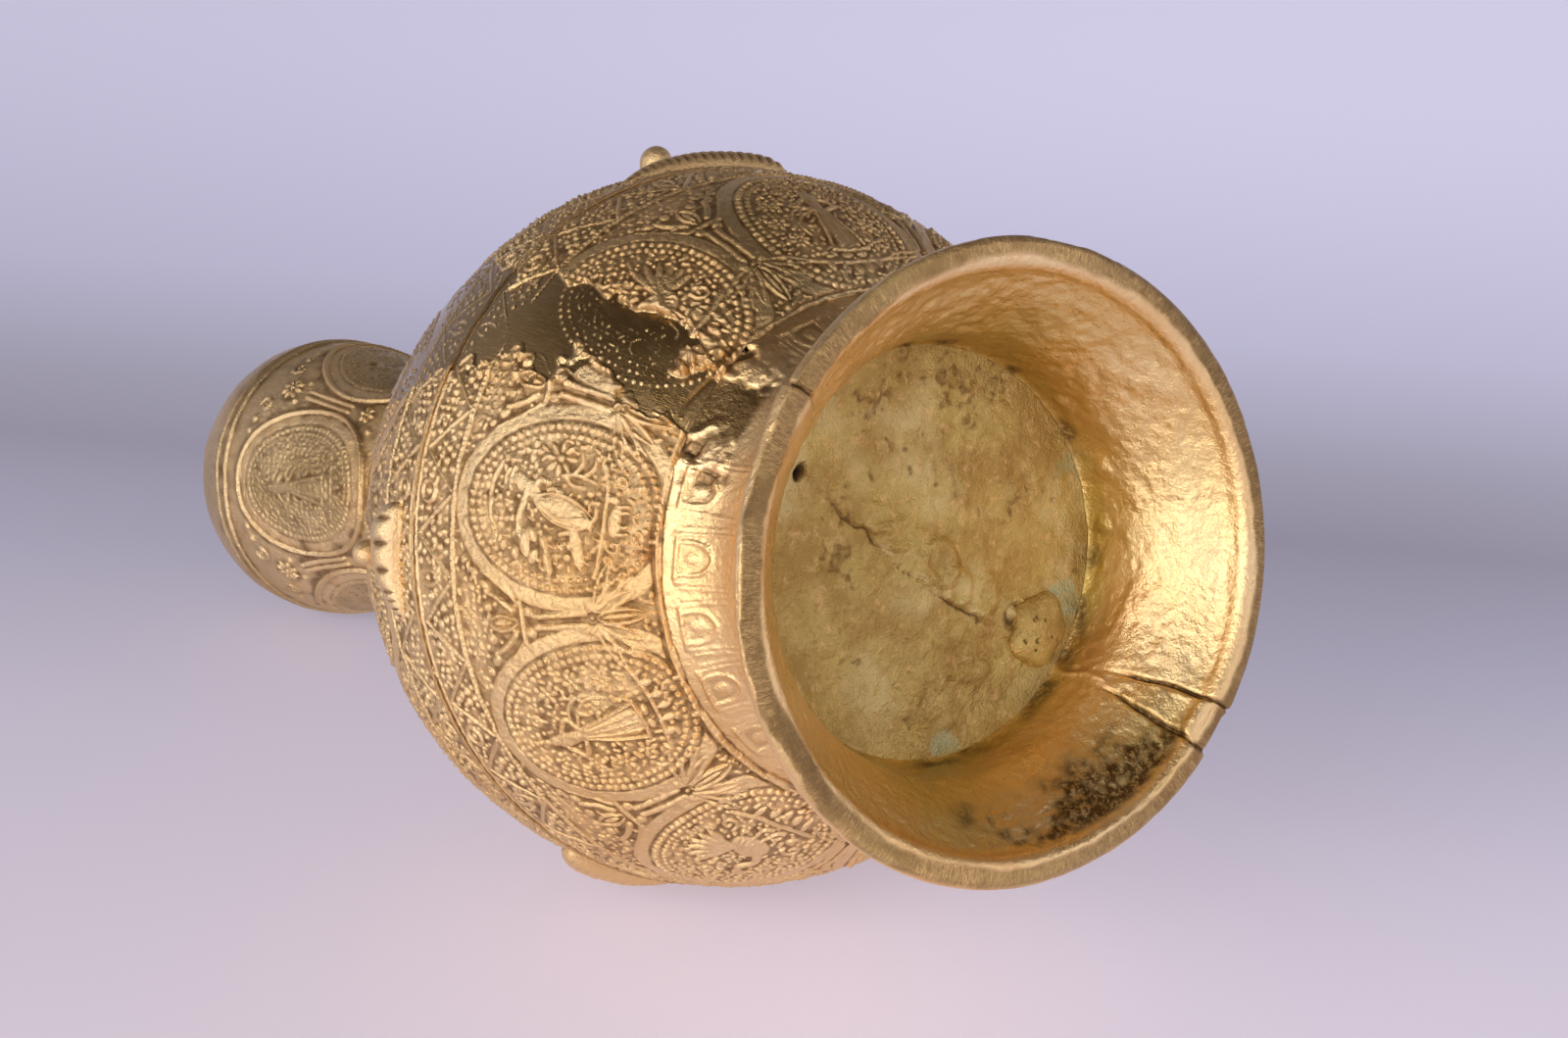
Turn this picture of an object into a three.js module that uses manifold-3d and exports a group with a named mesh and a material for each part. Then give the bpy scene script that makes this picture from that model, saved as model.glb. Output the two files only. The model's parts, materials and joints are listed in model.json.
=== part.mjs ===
// A cast bronze vase: flared hollow foot, round body with oval medallions, and a tall neck ending in a
// rounded head with a small mouth. Millimetres, +Z up, standing on the rim of its foot at the origin.
// Azimuth 0 faces -Y and 90 faces +X.
import * as THREE from "three";
import { mergeVertices } from "three/addons/utils/BufferGeometryUtils.js";
import Module from "manifold-3d";

const wasm = await Module();
wasm.setup();

// Driving dimensions
const gap = 0.3; // clearance between soldered pieces
const wall = 2.4; // thickness of the cast shells
const rimRadius = 55; // outer edge of the foot
const rimLand = 3.2; // flat width that the vase stands on
const rimEdge = 1.1; // rounding on each side of that flat
const waistRadius = 39.5; // narrowest part of the foot
const waistHeight = 29;
const floorRadius = 36.1; // base plate inside the foot
const floorHeight = 27.3;
const floorThickness = 2.5;
const globeRadius = 66;
const globeHeight = 89; // centre of the round body
const footJointLatitude = -47; // where the foot's collar meets the body, in degrees on the globe
const neckJointRadius = 21; // where the neck meets the body
const neckRadius = 14.5; // narrowest part of the neck
const neckWaistHeight = 164;
const flareRadius = 19.5; // where the neck has begun to swell into the head
const flareHeight = 194;
const headRadius = 28.3;
const headHeight = 240; // where the head is widest
const mouthRadius = 9; // clear bore of the mouth
const lipRadius = 12.4;
const lipHeight = 3.5; // rolled lip above the head's shoulder
const topHeight = 270;
const seamWire = 1.6; // diameter of the wire over the body's seam

// Medallions: rows of oval frames, a lower and an upper one on the globe and one on the head
const ovalsOnGlobe = 9;
const ovalLatitude = 29;
const ovalLength = 41; // along the meridian
const ovalWidth = 33.5;
const ovalsOnHead = 4;
const headOvalHeight = 213;
const headOvalLength = 37;
const headOvalWidth = 33;
const frameBead = 1.9; // thickness of an oval's frame

// Lugs soldered on the shoulder: the azimuth of each one's middle, its span round the body in degrees, its
// share of the full rise, how far its blunt end leads, and the azimuth of its knob and that knob's scale
const lugs = [
  { place: "top", azimuth: 81, span: 31, share: 1.05, lean: 1.5, knobAzimuth: 78, knobScale: 1.2 },
  { place: "left", azimuth: -12, span: 18, share: 1, lean: 1.4, knobAzimuth: -11, knobScale: 0.9 },
  { place: "bottom", azimuth: -83, span: 24, share: 0.8, lean: 1.2, knobAzimuth: -83, knobScale: 0.9 },
  { place: "right", azimuth: 166, span: 22, share: 1, lean: 1.4, knobAzimuth: 166, knobScale: 0.9 },
];
const lugLatitude = 9;
const lugWidth = 6.5;
const lugRise = 4.4; // height above the body
const lugDroop = 2.2; // degrees that its ends lie below its middle
const lugRibs = 7;
const knobRadius = 2.7;
const knobCentre = 2.4; // height of its middle above the body
const knobRise = 5.4; // height of its top above the body
const knobGap = 0.25; // between the ridge and the knob, which lies towards the neck

// Repaired split in the foot's rim
const splitAzimuth = -153;
const splitWidth = 8; // at the rim
const splitHeight = 19;
const plugAzimuth = -158; // lump of metal on the base plate
const plugDistance = 29;
const plugRadius = 6.2;
const plugRise = 2.6;

const roundSteps = 36;
const ovalSteps = 14;
const poleLatitude = 88; // where the outline of a whole globe turns in to its axis
const rad = THREE.MathUtils.degToRad;

// Materials
const gilt = { color: 0xc9963f, metalness: 1, roughness: 0.34 };
const brass = { color: 0xb08a3a, metalness: 1, roughness: 0.45 };
const patina = { color: 0x9a8a3c, metalness: 0.6, roughness: 0.7 };

const vase = new THREE.Group();
vase.name = "vase";

function solidOf(geometry) {
  const bare = geometry.clone();
  bare.deleteAttribute("normal");
  bare.deleteAttribute("uv");
  const merged = mergeVertices(bare, 1e-4);
  return new wasm.Manifold(
    new wasm.Mesh({
      numProp: 3,
      vertProperties: new Float32Array(merged.attributes.position.array),
      triVerts: new Uint32Array(merged.index.array),
    }),
  );
}

function geometryOf(solid) {
  const mesh = solid.getMesh();
  const geometry = new THREE.BufferGeometry();
  geometry.setAttribute("position", new THREE.BufferAttribute(mesh.vertProperties, 3));
  geometry.setIndex(new THREE.BufferAttribute(mesh.triVerts, 1));
  geometry.computeVertexNormals();
  return geometry;
}

function addPiece(name, geometry, look) {
  const mesh = new THREE.Mesh(geometry, new THREE.MeshStandardMaterial(look));
  mesh.name = name;
  vase.add(mesh);
}

// A closed ring or dome: the outline runs anticlockwise in (radius, height) and turns about +Z.
function turned(outline, steps = roundSteps) {
  const points = outline.map(([r, z]) => new THREE.Vector2(r, z));
  points.push(points[0].clone());
  const lathe = new THREE.LatheGeometry(points, steps);
  lathe.rotateX(Math.PI / 2);
  return lathe;
}

function smooth(points, count) {
  const curve = new THREE.CatmullRomCurve3(points.map(([r, z]) => new THREE.Vector3(r, z, 0)));
  return curve.getSpacedPoints(count).map((p) => [p.x, p.y]);
}

// Points of a circle of the globe's section, between two latitudes in degrees.
function globeArc(radius, from, to, count) {
  return Array.from({ length: count + 1 }, (_, i) => {
    const latitude = rad(from + ((to - from) * i) / count);
    return [radius * Math.cos(latitude), globeHeight + radius * Math.sin(latitude)];
  });
}

function latitudeAt(radius, height) {
  return THREE.MathUtils.radToDeg(Math.asin((height - globeHeight) / radius));
}

// Frame that stands on the globe at an azimuth and latitude: x runs round it, y up the meridian, z outwards.
function onGlobe(azimuth, latitude, radius) {
  const a = rad(azimuth);
  const l = rad(latitude);
  const out = new THREE.Vector3(Math.sin(a) * Math.cos(l), -Math.cos(a) * Math.cos(l), Math.sin(l));
  const round = new THREE.Vector3(Math.cos(a), Math.sin(a), 0);
  const up = new THREE.Vector3().crossVectors(out, round);
  const frame = new THREE.Matrix4().makeBasis(round, up, out);
  frame.setPosition(out.multiplyScalar(radius).add(new THREE.Vector3(0, 0, globeHeight)));
  return frame;
}

// A closed tube through a loop of points.
function beadLoop(points, thickness, sides = 4) {
  const path = new THREE.CatmullRomCurve3(points, true);
  return new THREE.TubeGeometry(path, points.length, thickness / 2, sides, true);
}

// Foot
const jointHeight = globeHeight + globeRadius * Math.sin(rad(footJointLatitude));
const jointRadius = globeRadius * Math.cos(rad(footJointLatitude));
const innerGlobe = globeRadius - wall;
const jointInner = Math.sqrt(innerGlobe ** 2 - (globeHeight - jointHeight) ** 2);
const ledgeHeight = floorHeight + floorThickness + gap;
const rimInner = rimRadius - rimLand - 2 * rimEdge;
const rimFlareHeight = 3;

function footSolid() {
  const outer = smooth(
    [
      [rimRadius, rimFlareHeight],
      [rimRadius - 5, 8],
      [waistRadius + 4.5, 16],
      [waistRadius + 0.9, waistHeight - 6],
      [waistRadius, waistHeight],
      [waistRadius + 1.4, waistHeight + 6],
      [jointRadius, jointHeight],
    ],
    8,
  );
  const inner = smooth(
    [
      [floorRadius + gap, ledgeHeight],
      [floorRadius + gap, floorHeight - 3],
      [floorRadius + 2.2, 17],
      [floorRadius + 6.5, 10],
      [rimInner - 0.6, rimFlareHeight],
    ],
    6,
  );
  const ledge = floorRadius - 2.2;
  const outline = [
    [rimInner + rimEdge, 0],
    [rimRadius - rimEdge, 0],
    [rimRadius - 0.2, rimEdge],
    ...outer,
    [jointInner, jointHeight],
    [ledge + 1, ledgeHeight + 2.4],
    [ledge, ledgeHeight],
    ...inner,
  ];
  return solidOf(turned(outline));
}

// A radial wedge through the foot's wall, open at the rim, its point at the top.
function splitWedge(margin) {
  const half = splitWidth / 2 - margin;
  const shape = new THREE.Shape();
  const foot = margin > 0 ? 0.6 : -1;
  shape.moveTo(-half, foot);
  shape.lineTo(half, foot);
  shape.lineTo(0.35 - margin / 2, splitHeight - 2 * margin);
  shape.lineTo(-0.35 + margin / 2, splitHeight - 2 * margin);
  shape.closePath();
  const depth = rimRadius + 10 - floorRadius;
  const wedge = new THREE.ExtrudeGeometry(shape, { depth, bevelEnabled: false });
  wedge.rotateX(Math.PI / 2);
  wedge.translate(0, -floorRadius + 4, 0);
  wedge.rotateZ(rad(splitAzimuth));
  return solidOf(wedge);
}

const wholeFoot = footSolid();
addPiece("foot", geometryOf(wholeFoot.subtract(splitWedge(0))), gilt);
addPiece("foot_split_tongue", geometryOf(wholeFoot.intersect(splitWedge(gap))), brass);

// Base plate, seated against the ledge inside the foot
addPiece(
  "base_plate",
  turned([
    [0, floorHeight],
    [floorRadius - 1, floorHeight],
    [floorRadius, floorHeight + 1],
    [floorRadius, floorHeight + floorThickness],
    [0, floorHeight + floorThickness],
  ]),
  patina,
);

// Lump of solder over a core hole in the base plate
function domeDown(radius, rise) {
  const arc = Array.from({ length: 6 }, (_, i) => {
    const t = (Math.PI / 2) * (i / 5);
    return [radius * Math.sin(t), -rise * Math.cos(t)];
  });
  arc[0][0] = 0;
  return turned([...arc, [0, 0]], 20);
}
const plug = domeDown(plugRadius, plugRise);
plug.translate(
  plugDistance * Math.sin(rad(plugAzimuth)),
  -plugDistance * Math.cos(rad(plugAzimuth)),
  floorHeight,
);
addPiece("base_plug", plug, patina);

// Body bowls, with the frames of the oval medallions raised on them
function ovalAzimuths(row) {
  const pitch = 360 / ovalsOnGlobe;
  return Array.from({ length: ovalsOnGlobe }, (_, i) => pitch * (row < 0 ? i : i + 0.5));
}

function ovalOnGlobe(azimuth, latitude, thickness) {
  const frame = onGlobe(azimuth, latitude, globeRadius);
  const centre = new THREE.Vector3(0, 0, globeHeight);
  const points = Array.from({ length: ovalSteps }, (_, i) => {
    const t = (2 * Math.PI * i) / ovalSteps;
    const p = new THREE.Vector3((ovalWidth / 2) * Math.cos(t), (ovalLength / 2) * Math.sin(t), 0);
    return p.applyMatrix4(frame).sub(centre).setLength(globeRadius).add(centre);
  });
  return solidOf(beadLoop(points, thickness));
}

// A whole ball in the body's place, cut round its section into count steps from pole to pole.
function wholeGlobe(radius, count, steps = roundSteps) {
  return solidOf(
    turned(
      [
        [0, globeHeight - radius],
        ...globeArc(radius, -poleLatitude, poleLatitude, count),
        [0, globeHeight + radius],
      ],
      steps,
    ),
  );
}

function bowl(from, to, row) {
  const innerFrom = row < 0 ? latitudeAt(innerGlobe, jointHeight) : 0;
  const innerTo = row < 0 ? 0 : latitudeAt(innerGlobe, neckJointHeight);
  const outline = [
    ...globeArc(globeRadius, from, to, 6),
    ...globeArc(innerGlobe, innerTo, innerFrom, 5),
  ];
  let shell = solidOf(turned(outline));
  const inside = wholeGlobe(innerGlobe, 20);
  for (const azimuth of ovalAzimuths(row)) {
    shell = shell.add(ovalOnGlobe(azimuth, row * ovalLatitude, frameBead).subtract(inside));
  }
  return shell;
}

const neckJointHeight = globeHeight + Math.sqrt(globeRadius ** 2 - neckJointRadius ** 2);
const neckJointInner = Math.sqrt(innerGlobe ** 2 - (neckJointHeight - globeHeight) ** 2);
const neckJointLatitude = latitudeAt(globeRadius, neckJointHeight);
addPiece("body_lower", geometryOf(bowl(footJointLatitude, 0, -1)), gilt);
addPiece("body_upper", geometryOf(bowl(0, neckJointLatitude, 1)), gilt);

// Wire over the seam between the two bowls
const wireCentre = globeRadius + gap + seamWire / 2;
addPiece(
  "seam_wire",
  turned(
    Array.from({ length: 6 }, (_, i) => {
      const t = (2 * Math.PI * i) / 6;
      return [wireCentre + (seamWire / 2) * Math.cos(t), globeHeight + (seamWire / 2) * Math.sin(t)];
    }),
  ),
  gilt,
);

// Neck and head
const headTop = topHeight - lipHeight;
function headArc(radius, lastRadius, rise, count) {
  const last = Math.acos(lastRadius / radius);
  return Array.from({ length: count }, (_, i) => {
    const t = (last * (i + 1)) / count;
    return [radius * Math.cos(t), headHeight + (rise * Math.sin(t)) / Math.sin(last)];
  });
}

// The slanting side, from above the neck's waist to the head's widest part, at an inset from the outer skin.
function headSide(inset) {
  return [
    [neckRadius + 0.8 - inset, neckWaistHeight + 12],
    [flareRadius - inset, flareHeight],
    [headRadius - 4.6 - inset, headOvalHeight],
    [headRadius - 0.9 - inset, headHeight - 12],
    [headRadius - inset, headHeight],
  ];
}

function neckSolid() {
  const outer = smooth(
    [
      [neckJointRadius, neckJointHeight],
      [neckRadius + 1.6, neckJointHeight + 6],
      [neckRadius, neckWaistHeight],
      ...headSide(0),
    ],
    9,
  );
  const inner = smooth(
    [[neckJointInner, neckJointHeight], [neckRadius - wall, neckWaistHeight], ...headSide(wall)],
    8,
  );
  const outline = [
    ...outer,
    ...headArc(headRadius, lipRadius - 0.8, headTop - headHeight, 5),
    [lipRadius, headTop + 0.9],
    [lipRadius, topHeight - 0.9],
    [lipRadius - 0.9, topHeight],
    [mouthRadius + 0.9, topHeight],
    [mouthRadius, topHeight - 0.9],
    ...headArc(headRadius - wall, mouthRadius, headTop - wall - headHeight, 4).reverse(),
    ...inner.toReversed(),
  ];
  let solid = solidOf(turned(outline));
  const bore = solidOf(turned([[0, neckJointHeight], ...inner, [0, headHeight]]));
  for (let i = 0; i < ovalsOnHead; i += 1) {
    solid = solid.add(ovalOnHead((360 * i) / ovalsOnHead).subtract(bore));
  }
  return solid;
}

// An oval frame that follows the slanting side of the head.
function ovalOnHead(azimuth) {
  const foot = headOvalHeight - headOvalLength / 2;
  const samples = smooth(headSide(0), 60);
  const away = (point, z) => Math.abs(point[1] - z);
  const radiusAt = (z) => samples.reduce((best, point) => (away(point, z) < away(best, z) ? point : best))[0];
  const points = Array.from({ length: ovalSteps }, (_, i) => {
    const t = (2 * Math.PI * i) / ovalSteps;
    const z = foot + (headOvalLength / 2) * (1 + Math.sin(t));
    const r = radiusAt(z);
    const round = ((headOvalWidth / 2) * Math.cos(t)) / radiusAt(headOvalHeight);
    const a = rad(azimuth) + round;
    return new THREE.Vector3(r * Math.sin(a), -r * Math.cos(a), z);
  });
  return solidOf(beadLoop(points, frameBead));
}
addPiece("neck", geometryOf(neckSolid()), gilt);

// Lugs: a ribbed ridge that lies round the shoulder, with a knob beside it, both clear of the frames
function lugBed() {
  let bed = wholeGlobe(globeRadius + gap, 40, 96);
  for (const azimuth of ovalAzimuths(1)) {
    bed = bed.add(ovalOnGlobe(azimuth, ovalLatitude, frameBead + 2 * gap));
  }
  return bed;
}
const bed = lugBed();

function ridge({ azimuth, span, share, lean }) {
  const stations = 3 * lugRibs;
  const sides = 8;
  const positions = [];
  const faces = [];
  for (let i = 0; i <= stations; i += 1) {
    const t = i / stations;
    const taper = Math.sqrt(Math.max(0.06, Math.sin(Math.PI * t ** lean)));
    const rib = 1 - 0.1 * Math.abs(Math.cos(Math.PI * lugRibs * t));
    const droop = lugDroop * (2 * t - 1) ** 2;
    const frame = onGlobe(azimuth + (t - 0.5) * span, lugLatitude - droop, globeRadius);
    for (let k = 0; k < sides; k += 1) {
      const s = (2 * Math.PI * k) / sides;
      const p = new THREE.Vector3(
        0,
        (lugWidth / 2) * taper * rib * Math.cos(s),
        lugRise * share * taper * rib * Math.sin(s),
      ).applyMatrix4(frame);
      positions.push(p.x, p.y, p.z);
    }
  }
  const ends = [0, stations].map((i) => {
    const middle = new THREE.Vector3();
    for (let k = 0; k < sides; k += 1) {
      middle.add(new THREE.Vector3().fromArray(positions, 3 * (i * sides + k)));
    }
    middle.divideScalar(sides);
    positions.push(middle.x, middle.y, middle.z);
    return positions.length / 3 - 1;
  });
  for (let i = 0; i < stations; i += 1) {
    for (let k = 0; k < sides; k += 1) {
      const a = i * sides + k;
      const b = i * sides + ((k + 1) % sides);
      faces.push(a, b, a + sides, b, b + sides, a + sides);
    }
  }
  for (let k = 0; k < sides; k += 1) {
    const next = (k + 1) % sides;
    faces.push(ends[0], next, k);
    faces.push(ends[1], stations * sides + k, stations * sides + next);
  }
  const geometry = new THREE.BufferGeometry();
  geometry.setAttribute("position", new THREE.Float32BufferAttribute(positions, 3));
  geometry.setIndex(faces);
  let solid = solidOf(geometry);
  if (solid.volume() < 0) {
    geometry.setIndex(faces.reverse());
    solid = solidOf(geometry);
  }
  return solid.subtract(bed);
}

function knob({ knobAzimuth, knobScale }) {
  const ball = new THREE.SphereGeometry(knobScale * knobRadius, 14, 10);
  const offset = lugWidth / 2 + knobScale * knobRadius + knobGap;
  const latitude = lugLatitude + THREE.MathUtils.radToDeg(offset / globeRadius);
  ball.scale(1, 1, (knobRise - knobCentre) / knobRadius);
  ball.applyMatrix4(onGlobe(knobAzimuth, latitude, globeRadius + knobScale * knobCentre));
  return solidOf(ball).subtract(bed);
}

for (const lug of lugs) {
  addPiece(`lug_${lug.place}`, geometryOf(ridge(lug)), gilt);
  addPiece(`knob_${lug.place}`, geometryOf(knob(lug)), gilt);
}

export default vase;
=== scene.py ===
"""Dresses the bronze vase: cast relief on its body and head, its finishes, and a plain studio round it."""

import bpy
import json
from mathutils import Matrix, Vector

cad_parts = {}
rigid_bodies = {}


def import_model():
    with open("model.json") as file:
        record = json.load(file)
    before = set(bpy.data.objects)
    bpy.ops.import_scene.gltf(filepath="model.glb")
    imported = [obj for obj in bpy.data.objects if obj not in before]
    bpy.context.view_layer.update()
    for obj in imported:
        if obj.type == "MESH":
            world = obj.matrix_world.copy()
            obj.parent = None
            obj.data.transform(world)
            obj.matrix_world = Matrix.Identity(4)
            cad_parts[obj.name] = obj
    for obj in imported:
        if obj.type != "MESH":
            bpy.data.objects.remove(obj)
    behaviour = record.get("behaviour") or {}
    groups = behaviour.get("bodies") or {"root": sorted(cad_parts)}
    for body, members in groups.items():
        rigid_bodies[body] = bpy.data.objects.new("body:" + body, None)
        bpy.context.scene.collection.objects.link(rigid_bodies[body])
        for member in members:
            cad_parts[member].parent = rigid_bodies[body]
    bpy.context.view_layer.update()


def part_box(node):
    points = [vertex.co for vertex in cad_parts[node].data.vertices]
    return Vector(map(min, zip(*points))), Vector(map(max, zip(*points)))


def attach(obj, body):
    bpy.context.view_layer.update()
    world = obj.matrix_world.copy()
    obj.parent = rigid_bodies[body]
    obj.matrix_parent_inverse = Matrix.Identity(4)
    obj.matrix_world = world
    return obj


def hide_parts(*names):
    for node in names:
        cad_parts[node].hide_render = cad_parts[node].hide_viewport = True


bl_info = {
    "name": "Bronze Medallion Vase",
    "version": (1, 0, 0),
    "blender": (4, 5, 0),
    "location": "3D View > Sidebar > Vase",
    "description": "Casts the relief of a bronze vase and sets it in a plain studio",
    "category": "Object",
}

import json
import math

import bmesh
import bpy
import numpy as np
from mathutils import Matrix, Vector

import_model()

MM = 0.001  # relief is drawn in millimetres, and meshes are in metres
GRAIN = 0.16  # distance between the cells of a relief sheet, in millimetres
SPACING = 0.42  # mesh spacing of the foot and the base plate, in millimetres


def corners(node):
    """Lowest and highest corners of a CAD node, in millimetres."""
    low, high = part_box(node)
    return Vector(low) / MM, Vector(high) / MM


# Main sizes in millimetres: first those that the frame gives
RIM_RADIUS = corners("foot")[1].x
JOINT_HEIGHT = corners("foot")[1].z
PLATE_RADIUS = corners("base_plate")[1].x
PLATE_HEIGHT = corners("base_plate")[0].z
GLOBE_RADIUS = corners("body_lower")[1].x
GLOBE_HEIGHT = corners("body_lower")[1].z
NECK_START = corners("neck")[0].z
VASE_HEIGHT = corners("neck")[1].z

# Then those of the skins, which lie inside the CAD's shapes
HEAD_RADIUS = 28.3
HEAD_HEIGHT = 240
NECK_RADIUS = 14.5
NECK_WAIST = 164
LIP_RADIUS = 12.4
MOUTH_RADIUS = 9
WALL = 2.4
RIM_INNER = RIM_RADIUS - 5.4
WAIST_RADIUS = 39.5
WAIST_HEIGHT = 29
SKIN_DEPTH = 0.55  # how far the bowls' ground lies below the CAD radius, so the relief stands level with it
# The first field marks how deep a cell lies in a hollow, which the materials darken with dirt and painted
# shade; the field of stains also holds painted shade, at the head's mouth end and where the foot meets the
# plate.
FIELDS = ("dirt_and_shade", "wear", "stain", "patina")  # what a sheet holds besides heights, for the materials

# Where the ornament lies: azimuth 0 faces -Y and 90 faces +X, and latitudes are the globe's, in degrees
MEDALLIONS = 9
MEDALLION_LATITUDE = 30.5
FRIEZE_EDGE = 10.6
COLLAR_LATITUDE = -47.3
TOP_EDGE = 50.8
NECK_LATITUDE = 71.6
HEAD_MEDALLIONS = 4
HEAD_MEDALLION_TURN = -6
HEAD_MEDALLION_HEIGHT = 213
SPLIT_AZIMUTH = -153


# Relief sheets


def clouds(shape, size, seed):
    """Smooth noise of mean 0 and spread 1, whose lumps are about size cells wide."""
    white = np.random.default_rng(seed).standard_normal(shape)
    soft = blur(white, size)
    return soft / soft.std()


def blur(field, size):
    """A field softened by a bell of size cells, wrapping round at its edges."""
    rows = np.fft.fftfreq(field.shape[0])[:, None]
    columns = np.fft.rfftfreq(field.shape[1])[None, :]
    keep = np.exp(-2 * (math.pi * size) ** 2 * (rows**2 + columns**2))
    return np.fft.irfft2(np.fft.rfft2(field) * keep, s=field.shape)


def ramp(value, low, high):
    """Smooth step from 0 at low to 1 at high."""
    t = np.clip((value - low) / (high - low), 0, 1)
    return t * t * (3 - 2 * t)


def between(value, low, full, fade, high):
    """Smooth hill: 0 at low, 1 from full to fade, and 0 again at high."""
    return ramp(value, low, full) * (1 - ramp(value, fade, high))


def bell(distance, width):
    """Bell-shaped hill round 0."""
    return np.exp(-((distance / width) ** 2))


def swell(distance, radius, height):
    """Round cross-section of a bead or a ridge."""
    return height * np.sqrt(np.clip(1 - (distance / radius) ** 2, 0, 1))


def flow(points, pieces=4):
    """A smooth path through a few points."""
    points = np.array(points, float)
    if len(points) < 3:
        return points
    ends = np.vstack([2 * points[0] - points[1], points, 2 * points[-1] - points[-2]])
    path = []
    for a, b, c, d in zip(ends, ends[1:], ends[2:], ends[3:]):
        for t in np.arange(pieces) / pieces:
            bend = (2 * a - 5 * b + 4 * c - d) * t**2 + (3 * b - a - 3 * c + d) * t**3
            path.append(0.5 * (2 * b + (c - a) * t + bend))
    path.append(points[-1])
    return np.array(path)


class Sheet:
    """Heights in millimetres on a sheet wrapped round the vase: x runs round it and y along its outline."""

    def __init__(self, around, low, high, girth):
        self.around, self.low, self.girth = around, low, girth
        self.columns = round(around / GRAIN)
        self.step = around / self.columns
        self.rows = round((high - low) / GRAIN) + 1
        for field in ("height", *FIELDS):
            setattr(self, field, np.zeros((self.rows, self.columns)))

    def window(self, x, y, reach):
        """Cells near a point, and how far each lies from it, round the vase and up it."""
        middle = (y - self.low) / GRAIN
        half = reach / GRAIN
        rows = np.arange(max(0, int(middle - half)), max(1, min(self.rows, int(middle + half) + 2)))
        up = self.low + rows * GRAIN
        narrow = max(0.08, float(np.min(self.girth(up))))
        half = min(reach / narrow / self.step, self.columns / 2 - 1)
        columns = np.arange(int(x / self.step - half), int(x / self.step + half) + 2)
        u = (columns * self.step - x)[None, :] * self.girth(up)[:, None]
        v = np.broadcast_to((up - y)[:, None], u.shape)
        return np.ix_(rows, columns % self.columns), u, v

    def lift(self, cells, heights):
        """Raises the ground to these heights where they stand above it."""
        self.height[cells] = np.maximum(self.height[cells], heights)

    def places(self):
        """Every cell's azimuth in degrees and its y."""
        azimuth = np.arange(self.columns) * 360 / self.columns
        azimuth = (azimuth + 180) % 360 - 180
        return azimuth[None, :], (self.low + np.arange(self.rows) * GRAIN)[:, None]

    def noise(self, size, seed):
        """Smooth noise over the sheet, with lumps about size millimetres wide."""
        return clouds(self.height.shape, size / GRAIN, seed)

    def noises(self, *parts):
        """Sum of noises, each given by its amount, its size in millimetres and its seed."""
        return sum(amount * self.noise(size, seed) for amount, size, seed in parts)

    def hoop(self, y, width, height, twist=0, pieces=180):
        """A ridge that runs right round the vase; with a twist it is cut like a cord, at that pitch."""
        shrink = self.girth(y)
        turns = round(self.around * shrink / twist) if twist else 0
        steps = np.linspace(0, self.around, pieces + 1)
        for start, end in zip(steps, steps[1:]):
            x, half = (start + end) / 2, (end - start) * shrink / 2
            cells, du, dv = self.window(x, y, half + width)
            ridge = swell(dv, width / 2, height)
            if turns:
                phase = (x + du / shrink) / self.around * turns + 1.1 * dv / twist
                ridge = ridge * (0.76 + 0.24 * np.cos(2 * math.pi * phase))
            self.lift(cells, np.where(np.abs(du) <= half + GRAIN, ridge, 0))

    def settle(self, softness=0.1, hollow=1.2):
        """Softens the relief as a casting does, and notes how deep each cell lies in a hollow, where the
        materials lay dirt and painted shade.
        """
        self.height = blur(self.height, softness / GRAIN)
        depth = blur(self.height, hollow / GRAIN) - self.height
        self.dirt_and_shade = np.clip(depth / 0.22, -1, 1)

    def read(self, field, x, y):
        """A field's values at points of the sheet."""
        column = (x % self.around) / self.step
        row = np.clip((y - self.low) / GRAIN, 0, self.rows - 1.001)
        left, under = np.floor(column).astype(int), np.floor(row).astype(int)
        across, up = column - left, row - under
        left %= self.columns
        right = (left + 1) % self.columns
        lower = field[under, left] * (1 - across) + field[under, right] * across
        upper = field[under + 1, left] * (1 - across) + field[under + 1, right] * across
        return lower * (1 - up) + upper * up


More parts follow.
